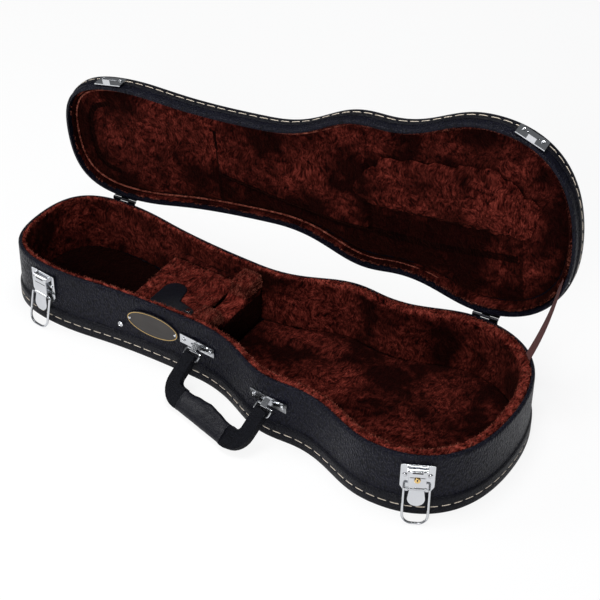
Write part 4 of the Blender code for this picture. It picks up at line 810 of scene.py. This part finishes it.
def opened(point):
    """Where a point of the closed lid lies with the lid open."""
    return LID_TURN @ (Vector(point) - HINGE_POINT) + HINGE_POINT


def lid_section():
    """The lid's wall, rolled over at its rim and closed by the top board."""
    top = BOARD_TOP - LID_BOARD - STRIP_GLUE
    edge = rounded_edge((-RIM_RADIUS, LID_RIM + RIM_RADIUS), RIM_RADIUS, -90, 0, RIM_STEPS)
    return edge + [(0.0, top), (-WALL, top), (-WALL, LID_RIM)]


lid_shell = shell_ring("lid_shell", lid_section(), LEATHERETTE, "lid", opened)
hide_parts("lid_wall")
strip_section = proud_section(STRIP_LOW, BOARD_TOP, LID_SEAM, STRIP_GLUE, STRIP_GLUE, STRIP_PROUD)
lid_strip = shell_ring("lid_strip", strip_section, BINDING, "lid", opened)
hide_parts("lid_band")
stitches("lid_stitching", STRIP_GLUE + STRIP_PROUD - SEAM_DEPTH + THREAD_SUNK, LID_SEAM, "lid", opened)

# The top is a low crown. Each loop is an inset from the outline and a height.
CROWN_LOOPS = (
    (0.0, BOARD_TOP - LID_BOARD),
    (0.0, BOARD_TOP - 0.0012),
    (0.0004, BOARD_TOP - 0.0004),
    (0.0012, BOARD_TOP),
    (0.0048, BOARD_TOP + 0.4 * LID_CROWN),
    (0.0154, BOARD_TOP + 0.8 * LID_CROWN),
    (0.032, LID_TOP),
)
crown = [opened((*(RIM[k] - OUTWARD[k] * inset), z)) for inset, z in CROWN_LOOPS for k in range(COUNT)]
crown_faces = capped_tube(0, len(CROWN_LOOPS), COUNT)
lid_top = add_piece("lid_top", crown, crown_faces, LEATHERETTE, "lid")
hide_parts("lid_panel")

# PLUSH LININGS OF THE LID
# The lid is lined as the tray is, with its lining set back from the black rim.
# A long soft cushion over the body holds the instrument when the lid is closed.
# The roof's pad runs on over the neck, with a crease at its head end and a groove along each side.
LID_INWARD = -LID_OUT
NECK_PAD = ((-0.117, 0.015), (-0.041, 0.031), (0.036, 0.044), (0.062, 0.046))
NECK_PAD_START, NECK_PAD_END = NECK_PAD[0][0], 0.075
NECK_PAD_MIDDLE = 0.004
NECK_PAD_RISE = 0.0036
NECK_PAD_EDGE = 0.0035
GROOVE_DEPTH = 0.0012
ROOF_GROOVE = ((-0.117, 0.019), (-0.041, 0.036), (0.036, 0.050), (0.149, 0.054), (0.256, 0.047))
GROOVE_HALF = 0.0048
CREASE_HALF = 0.0018
HEAD_ROLL = 0.027
HEAD_ROLL_RISE = 0.0022
HEAD_ROLL_END = -0.262
WELT_INSET = 0.0102
WELT = 0.0011


def all_over(points, normals):
    """Every point counts as shown."""
    return np.ones(len(points))


def into_lid(points, normals):
    """How much a point faces into the case."""
    return normals @ LID_INWARD * 1.5


def as_closed(points):
    """Where points of the open lid lie with the lid closed."""
    pin = np.array(HINGE_POINT)
    return (points - pin) @ np.array(LID_TURN) + pin


def from_rim(points):
    """How far each point of the closed lid lies inside its outline."""
    gaps = points[:, None, :2] - RIM[None, :, :]
    return np.sqrt((gaps**2).sum(axis=2)).min(axis=1)


def line_at(line, x):
    """How far back a line of points lies at places along the case."""
    return np.interp(x, *zip(*line))


def falling(past, width):
    """Falls smoothly from 1 to 0 as a distance passes zero."""
    return 1 / (1 + np.exp(np.clip(past / width, -40, 40)))


lid_lining = plush_pad(
    "lid_side_lining", "lid_wall_padding", 0.0019, 3, all_over, PLUSH, "lid", rise=0.0005, reach=0.0003
)
roof = plush_pad(
    "lid_roof_lining", "lid_roof_padding", 0.0026, 3, into_lid, PLUSH_PAINTED_DARK, "lid", reach=0.0012
)
cushion = plush_pad(
    "lid_cushion", "lid_pad", 0.0028, 4, facing(LID_INWARD), PLUSH_PAINTED_LIGHT, "lid", (1.5, 0.0015)
)

spots = vertices_of(roof.data)
closed = as_closed(spots)
x, y = closed[:, 0], closed[:, 1]
inside = np.minimum(line_at(NECK_PAD, x) - np.abs(y - NECK_PAD_MIDDLE), x - NECK_PAD_START)
inside = np.minimum(inside, NECK_PAD_END - x)
groove = np.exp(-(((inside + 0.004) / 0.0028) ** 2))
head_roll = falling(x - HEAD_ROLL_END, 0.004) * falling(from_rim(closed) - HEAD_ROLL, 0.0008)
relief = NECK_PAD_RISE * falling(-inside, NECK_PAD_EDGE / 4) - GROOVE_DEPTH * groove
relief += HEAD_ROLL_RISE * head_roll
relief *= np.clip(vertices_of(roof.data, "normal") @ LID_INWARD, 0.0, 1.0)
set_vertices(roof.data, spots + LID_INWARD * relief[:, None])

# Faces marked lit get the common plush and the rest of the roof the darker copy, as painted light and shade;
# the groove, the crease and a band by the head roll get pile in painted shade.
closed = as_closed(np.array([face.center for face in roof.data.polygons]))
x, y = closed[:, 0], closed[:, 1]
rim_gap = from_rim(closed)
at_head = x < HEAD_ROLL_END
lit = (x < -0.122) | (x > 0.262) | (y < -0.055) | (rim_gap < HEAD_ROLL) & at_head
lit |= (y < line_at(NECK_PAD, x)) & (x < NECK_PAD_END)
shade = (x > ROOF_GROOVE[0][0]) & (x < ROOF_GROOVE[-1][0])
shade &= np.abs(y - line_at(ROOF_GROOVE, x)) < GROOVE_HALF
shade |= (np.abs(x - NECK_PAD_START + 0.002) < CREASE_HALF) & (y > -0.04)
shade |= (np.abs(rim_gap - HEAD_ROLL - 0.003) < 0.0035) & at_head
roof.data.materials.append(PLUSH)
shaded(roof, np.where(shade, 2, lit))
hingeward = LID_TURN @ Vector((0, 1, 0))
shaded(cushion, [face.normal @ hingeward > 0.45 for face in cushion.data.polygons])

# The welt takes the pale copy of the pile, a painted highlight line along the side lining's top.
welt_height = float(closed[:, 2].min()) + NECK_PAD_RISE - 0.0004
welt_section = rounded_edge((-WELT_INSET, welt_height), WELT, 0, 315, 8)
shell_ring("lid_lining_welt", welt_section, PLUSH_HIGHLIGHT, "lid", opened)


def near_lid_rim(points, normals):
    """Where the lid's lining shows at the rim."""
    height = (points - np.array(HINGE_POINT)) @ LID_OUT + HINGE_POINT.z
    return (height < LID_RIM + 0.0055) & (normals @ LID_OUT < 0.3)


nap_tufts("lid_lining_nap", lid_lining, 2400, near_lid_rim, 0.0018, "lid", 14)

# HINGES
# Two small butt hinges of blackened steel with rolled knuckles and a loose pin each.
# They are screwed to the backs of the tray and of the lid.
def build_wear():
    """Fine scuffs and a slow cloud over polished or painted metal."""
    group, inputs, outputs = new_group("metal_wear", {"Scuff": 420.0, "Cloud": 30.0}, ("Scuffs", "Cloud"))
    place = add_node(group, "TexCoord").outputs["Object"]
    drawn = add_node(group, "Mapping", {"Vector": place, "Scale": (0.12, 0.12, 1.0)}).outputs["Vector"]
    wire(group, outputs["Scuffs"], noise_at(group, drawn, inputs["Scuff"], 3.0))
    wire(group, outputs["Cloud"], noise_at(group, place, inputs["Cloud"]))
    return group


WEAR = build_wear()


def metal(name, colour, dark, rough, depth, shine=1.0):
    """Plated or painted metal with faint scuffs in its gloss and colour."""
    material, tree, shader = material_of(name)
    wear = add_node(tree, "Group", node_tree=WEAR).outputs
    tone = mixed(tree, ramp(tree, wear["Cloud"], 0.45, 1.6), colour, dark)
    gloss = total(tree, rough, ramp(tree, wear["Scuffs"], 0.4, rough * 0.9, clamp=False))
    shader.inputs["Metallic"].default_value = shine
    finish_shader(tree, shader, tone, gloss, wear["Scuffs"], depth, 0.25)
    return material


CHROME = metal("chrome", (0.60, 0.61, 0.63), (0.50, 0.51, 0.53), 0.12, 0.00006)
BLACK_STEEL = metal("black_steel", (0.035, 0.035, 0.04), (0.02, 0.02, 0.023), 0.32, 0.00008)
# Painted shade: a flat near-black finish for patches drawn where slots and recesses fall in shade.
SLOT_SHADE = metal("painted_slot_shade", (0.010, 0.010, 0.012), (0.006, 0.006, 0.007), 0.7, 0.00004, 0.0)
BRASS = metal("brass", (0.78, 0.55, 0.22), (0.62, 0.4, 0.14), 0.2, 0.00006)

for end in ("head", "tail"):
    for part, edge in (("tray_leaf", 0.0002), ("lid_leaf", 0.0002), ("pin", 0.0)):
        finish_node(f"hinge_{end}_{part}", BLACK_STEEL, edge)

# PULL TAB AND SNAP OF THE COMPARTMENT
# A tongue of black leather lies on the compartment's cover.
# A nickel snap at its tail holds it down.
TAB_DARK, TAB_LIGHT = (0.0012, 0.0013, 0.0020), (0.0040, 0.0045, 0.0078)
TAB_LEATHER = grained("tab_leather", TAB_DARK, TAB_LIGHT, 0.3, 800.0, 1.0, 0.0003, 0.16)
TAB_BOW = 0.0022
tongue = copied("leather_tongue", "pull_tab")
remeshed(tongue, 0.0009, 2)
tab_low, tab_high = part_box("pull_tab")
spots = vertices_of(tongue.data)
share = [np.clip((spots[:, k] - tab_low[k]) / (tab_high[k] - tab_low[k]), 0, 1) for k in (0, 1)]
bow_x, bow_y = (np.sin(np.pi * part) for part in share)
spots[:, 2] += TAB_BOW * bow_x**1.5 * bow_y**0.7
set_vertices(tongue.data, spots)
dressed(tongue, TAB_LEATHER, "compartment_lid", "pull_tab")
finish_node("pull_tab_snap", CHROME, 0.0005, 3)


def woven(name, base, pale):
    """Plain weave ribbon: crossing yarns with a little sheen."""
    material, tree, shader = material_of(name)
    place = add_node(tree, "TexCoord").outputs["Object"]
    weft, warp = (
        add_node(tree, "TexWave", {"Vector": place, "Scale": scale}, bands_direction=way).outputs["Fac"]
        for way, scale in (("Z", 260.0), ("Y", 300.0))
    )
    yarn = times(tree, weft, warp)
    shader.inputs["Sheen Weight"].default_value = 0.04
    finish_shader(tree, shader, mixed(tree, yarn, base, pale), 0.75, yarn, 0.0003)
    return material


RIBBON = woven("ribbon", (0.045, 0.009, 0.008), (0.095, 0.022, 0.019))
stay = copied("stay_strap", "stay_ribbon")
finer = stay.modifiers.new("finer", "SUBSURF")
finer.subdivision_type = "SIMPLE"
finer.levels = finer.render_levels = 2
apply_modifiers(stay)
dressed(stay, RIBBON, "tray", "stay_ribbon")
stay.data.set_sharp_from_angle(angle=CORNER)
strap = vertices_of(stay.data)
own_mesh(stay)

# HANDLE BRACKETS AND RINGS
# A chromed plate with a riveted lug at each end of the handle, held by two screws.
# A bent wire ring joins each lug to the handle.
MM = 0.001


def face_frame(name, outward=(0, -1, 0), upward=(0, 0, 1)):
    """A flat fitting's middle at its back, its ways along, up and out, and its size."""
    mesh = nodes[name].data
    ways = {}
    for face in mesh.polygons:
        key = tuple(round(n * 40) for n in face.normal)
        ways[key] = ways.get(key, Vector()) + face.normal * face.area
    out = max(ways.values(), key=lambda way: way.length).normalized()
    if out.dot(Vector(outward)) < 0:
        out.negate()
    rise = Vector(upward)
    rise = (rise - out * rise.dot(out)).normalized()
    turn = Matrix((rise.cross(out), rise, out)).transposed()
    spans = vertices_of(mesh) @ np.array(turn)
    least, most = Vector(spans.min(axis=0)), Vector(spans.max(axis=0))
    middle = (least + most) / 2
    middle.z = least.z
    return turn @ middle, turn, most - least


HEAD_RINGS, HEAD_SIDES = 14, 40
CROSS_HALF, CROSS_REACH = 0.19, 0.62


def turned_head(name, node, body, pressed, outward=(0, -1, 0)):
    """A domed screw or rivet head with a cross, a ring or nothing pressed in it."""
    middle, turn, size = face_frame(node, outward)
    radius, tall = size.x / 2, size.z

    def arm(across, along):
        """How deep one arm of the cross is, from 0 to 1."""
        inside = ((CROSS_HALF - abs(across)) / 0.1, (CROSS_REACH - abs(along)) / 0.1)
        return min(1, max(0, inside[0])) * min(1, max(0, inside[1]))

    def top(x, y):
        """The head's height over a point of its unit circle."""
        reach = min(1.0, math.hypot(x, y))
        height = 0.4 + 0.6 * math.sqrt(max(0.0, 1 - reach**2.4))
        if pressed == "cross":
            height -= 0.6 * max(arm(x, y), arm(y, x))
        if pressed == "ring":
            height -= 0.22 * math.exp(-(((reach - 0.62) / 0.08) ** 2))
        return height * tall

    angles = [2 * math.pi * side / HEAD_SIDES for side in range(HEAD_SIDES)]
    circle = [(math.cos(angle), math.sin(angle)) for angle in angles]
    points = [(0.0, 0.0, top(0, 0))]
    for ring in range(1, HEAD_RINGS + 1):
        share = ring / HEAD_RINGS
        points += [(share * x * radius, share * y * radius, top(share * x, share * y)) for x, y in circle]
    points += [(x * radius, y * radius, 0.0) for x, y in circle]
    faces = [(0, 1 + side, 1 + (side + 1) % HEAD_SIDES) for side in range(HEAD_SIDES)]
    faces += tube_faces(1, HEAD_RINGS + 1, HEAD_SIDES)
    faces.append(tuple(1 + HEAD_RINGS * HEAD_SIDES + k for k in reversed(range(HEAD_SIDES))))
    piece = add_piece(name, [middle + turn @ Vector(p) for p in points], faces, CHROME, body)
    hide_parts(node)


def slab_faces(across, down):
    """The faces of a thin slab whose two sides are grids of points."""
    row = across + 1
    lower = row * (down + 1)
    faces = []
    for j in range(down):
        for i in range(across):
            a = j * row + i
            faces.append((a, a + 1, a + row + 1, a + row))
            faces.append((lower + a, lower + a + row, lower + a + row + 1, lower + a + 1))
    edge = list(range(across)) + [across + j * row for j in range(down)]
    edge += [down * row + i for i in range(across, 0, -1)] + [j * row for j in range(down, 0, -1)]
    for a, b in zip(edge, edge[1:] + edge[:1]):
        faces.append((a, lower + a, lower + b, b))
    return faces


PATCH_SUNK = 0.15 * MM
RAY = 0.03


def pressed_patch(name, node, frame_at, middle, size, rise, material, body, slot, grid=(24, 14)):
    """A small pressed form on a fitting's face. rise gives its height in mm over the patch, from -1 to 1."""
    origin, turn, _ = frame_at
    mesh = nodes[node].data
    tree = BVHTree.FromPolygons([v.co for v in mesh.vertices], [tuple(f.vertices) for f in mesh.polygons])
    across, down = grid
    upper, under = [], []
    for j in range(down + 1):
        for i in range(across + 1):
            u, v = 2 * i / across - 1, 2 * j / down - 1
            at = Vector((middle[0] + u * size[0] / 2, middle[1] + v * size[1] / 2, 0.0)) * MM
            hit = tree.ray_cast(origin + turn @ (at + Vector((0, 0, RAY))), -turn.col[2], 2 * RAY)[0]
            ground = hit if hit else origin + turn @ at
            upper.append(ground + turn.col[2] * rise(u, v) * MM)
            under.append(ground - turn.col[2] * PATCH_SUNK)
    add_piece(name, upper + under, slab_faces(across, down), material, body)


def shade_patch(name, node, frame_at, middle, size, height, body, grid=(8, 2)):
    """A slot in a fitting, drawn as a thin dark patch of painted shade."""
    where = (name, node, frame_at, middle, size)
    pressed_patch(*where, lambda u, v: height, SLOT_SHADE, body, "black_steel", grid)


for end in ("head", "tail"):
    finish_node(f"handle_bracket_{end}", CHROME, 0.0004)
    finish_node(f"handle_ring_{end}", CHROME)
    for number in (1, 2):
        turned_head(f"bracket_{end}_crosshead_{number}", f"bracket_{end}_screw_{number}", "tray", "cross")

# HANDLE
# A stiff U-shaped strap in pebbled black plastic hide, with a swollen sleeve to hold.
# It swings on its two rings, and rests on the table when it is let go.
STRAP_DARK, STRAP_LIGHT = (0.0013, 0.0014, 0.0021), (0.0044, 0.0047, 0.0072)
HANDLE_HIDE = grained("handle_hide", STRAP_DARK, STRAP_LIGHT, 0.42, 700.0, 0.8, 0.0006, 0.06)
finish_node("handle_strap", HANDLE_HIDE, 0.0012, 3)
GRIP_WAVE = 0.0006
GRIP_LIP = 0.0006
GRIP_DENTS = 0.00022
FINGERS = 4
SLEEVE_DARK, SLEEVE_LIGHT = (0.0022, 0.0022, 0.0036), (0.0060, 0.0062, 0.0104)
SLEEVE_HIDE = grained("sleeve_hide", SLEEVE_DARK, SLEEVE_LIGHT, 0.30, 1300.0, 0.9, 0.00012, 0.2)
sleeve = copied("handle_sleeve", "handle_grip")
remeshed(sleeve, 0.0011, 2)
grip_turn = np.array(face_frame("handle_grip", (0, -1, 1))[1])
spots, facing_out = vertices_of(sleeve.data), vertices_of(sleeve.data, "normal")
local, ways = spots @ grip_turn, facing_out @ grip_turn
along_grip = (local[:, 0] - local[:, 0].min()) / np.ptp(local[:, 0])
lip = np.exp(-((np.minimum(along_grip, 1 - along_grip) / 0.03) ** 2)) - 0.5
inner = np.clip(ways[:, 1], 0.0, 1.0)
hollows = inner * (0.5 - 0.5 * np.cos(along_grip * 2 * math.pi * FINGERS)) * np.sin(along_grip * math.pi)
dents = np.array([noise.noise(Vector(spot) * 160.0) for spot in spots])
swell = GRIP_LIP * lip * (np.abs(ways[:, 0]) <= 0.6) - GRIP_WAVE * hollows + GRIP_DENTS * dents
set_vertices(sleeve.data, spots + facing_out * swell[:, None])
dressed(sleeve, SLEEVE_HIDE, "handle", "handle_grip")

# DRAW LATCHES
# Pressed and chromed steel: a base plate, a lever on a pin, and a wire bail that hooks the lid's plate.
# The tail latch has a small brass lock.
FOLD_RISE = 0.4


def rounded_fold(u, v):
    """The folded top of a lever: a flat bar with rounded edges."""
    return FOLD_RISE * (1 - abs(u) ** 10) ** 0.5 * (1 - abs(v) ** 8) ** 0.5


for end in ("head", "tail"):
    lever = f"latch_{end}_lever"
    for part, edge in (("base", 0.0003), ("lever", 0.0003), ("pin", 0.0), ("bail", 0.0)):
        finish_node(f"latch_{end}_{part}", CHROME, edge)
    for number in (1, 2):
        turned_head(f"latch_{end}_rivet_head_{number}", f"latch_{end}_rivet_{number}", "tray", "ring")
    at, body = face_frame(lever), f"lever_{end}"
    fold = f"latch_{end}_fold"
    pressed_patch(fold, lever, at, (0, 18.4), (16.5, 8.6), rounded_fold, CHROME, body, "chrome")
    # Painted shade: a dark patch in the lever's slot, and a dark line under its fold.
    shade_patch(f"latch_{end}_slot", lever, at, (0, 20.6), (11.0, 1.7), FOLD_RISE + 0.06, body)
    shade_patch(f"{fold}_line", lever, at, (0, 13.7), (16.0, 0.7), 0.1, body)
finish_node("lock_barrel", BRASS, 0.0002)
at = face_frame("lock_barrel")
# Painted shade: a dark patch in the keyway.
shade_patch("lock_keyway", "lock_barrel", at, (0, -0.3), (1.3, 3.4), 0.06, "lock", (4, 4))

# CATCH PLATES
# A chromed plate on the lid above each latch, with a hook that the bail pulls on.
LID_FRONT = LID_TURN @ Vector((0, -1, 0))
for end in ("head", "tail"):
    plate = f"catch_{end}_plate"
    finish_node(plate, CHROME, 0.0003)
    at = face_frame(plate, LID_FRONT, LID_OUT)
    pressed_patch(f"catch_{end}_rib", plate, at, (0, 3.4), (16.0, 2.0), rounded_fold, CHROME, "lid", "chrome")
    # Painted shade: a dark patch in the catch's slot.
    shade_patch(f"catch_{end}_slot", plate, at, (0, 1.6), (15.0, 0.8), 0.08, "lid")
    for number in (1, 2):
        screw = f"catch_{end}_screw_{number}"
        turned_head(f"catch_{end}_crosshead_{number}", screw, "lid", "cross", LID_FRONT)

# BADGE AND KEEPER STUD
# A bare oval badge plate in dark grey-brown with a thin gold rim, held by two pins.
BADGE_FACE = metal("badge_face", (0.030, 0.025, 0.022), (0.018, 0.015, 0.014), 0.42, 0.00005, 0.25)
finish_node("badge_plate", BADGE_FACE)
BORDER_INSET = 1.1
BORDER_STEPS = 140
BORDER_SECTION = ((-0.4, 0.9), (-0.4, 1.12), (-0.2, 1.2), (0.2, 1.2), (0.4, 1.12), (0.4, 0.9))
GOLD = metal("gold_line", (0.62, 0.42, 0.16), (0.44, 0.28, 0.10), 0.3, 0.00005)
middle, turn, size = face_frame("badge_plate")
half_long, half_tall = size.x / 2 / MM - BORDER_INSET, size.y / 2 / MM - BORDER_INSET
border = []
for step in range(BORDER_STEPS):
    angle = 2 * math.pi * step / BORDER_STEPS
    away = Vector((math.cos(angle) / half_long, math.sin(angle) / half_tall)).normalized()
    at = Vector((half_long * math.cos(angle), half_tall * math.sin(angle)))
    for inset, height in BORDER_SECTION:
        border.append(middle + turn @ (Vector((*(at + away * inset), height)) * MM))
add_piece("badge_border", border, ring_faces(BORDER_STEPS, len(BORDER_SECTION)), GOLD, "tray")
for number in (1, 2):
    turned_head(f"badge_nail_{number}", f"badge_pin_{number}", "tray", "plain")
turned_head("keeper_button", "keeper_stud", "tray", "ring")
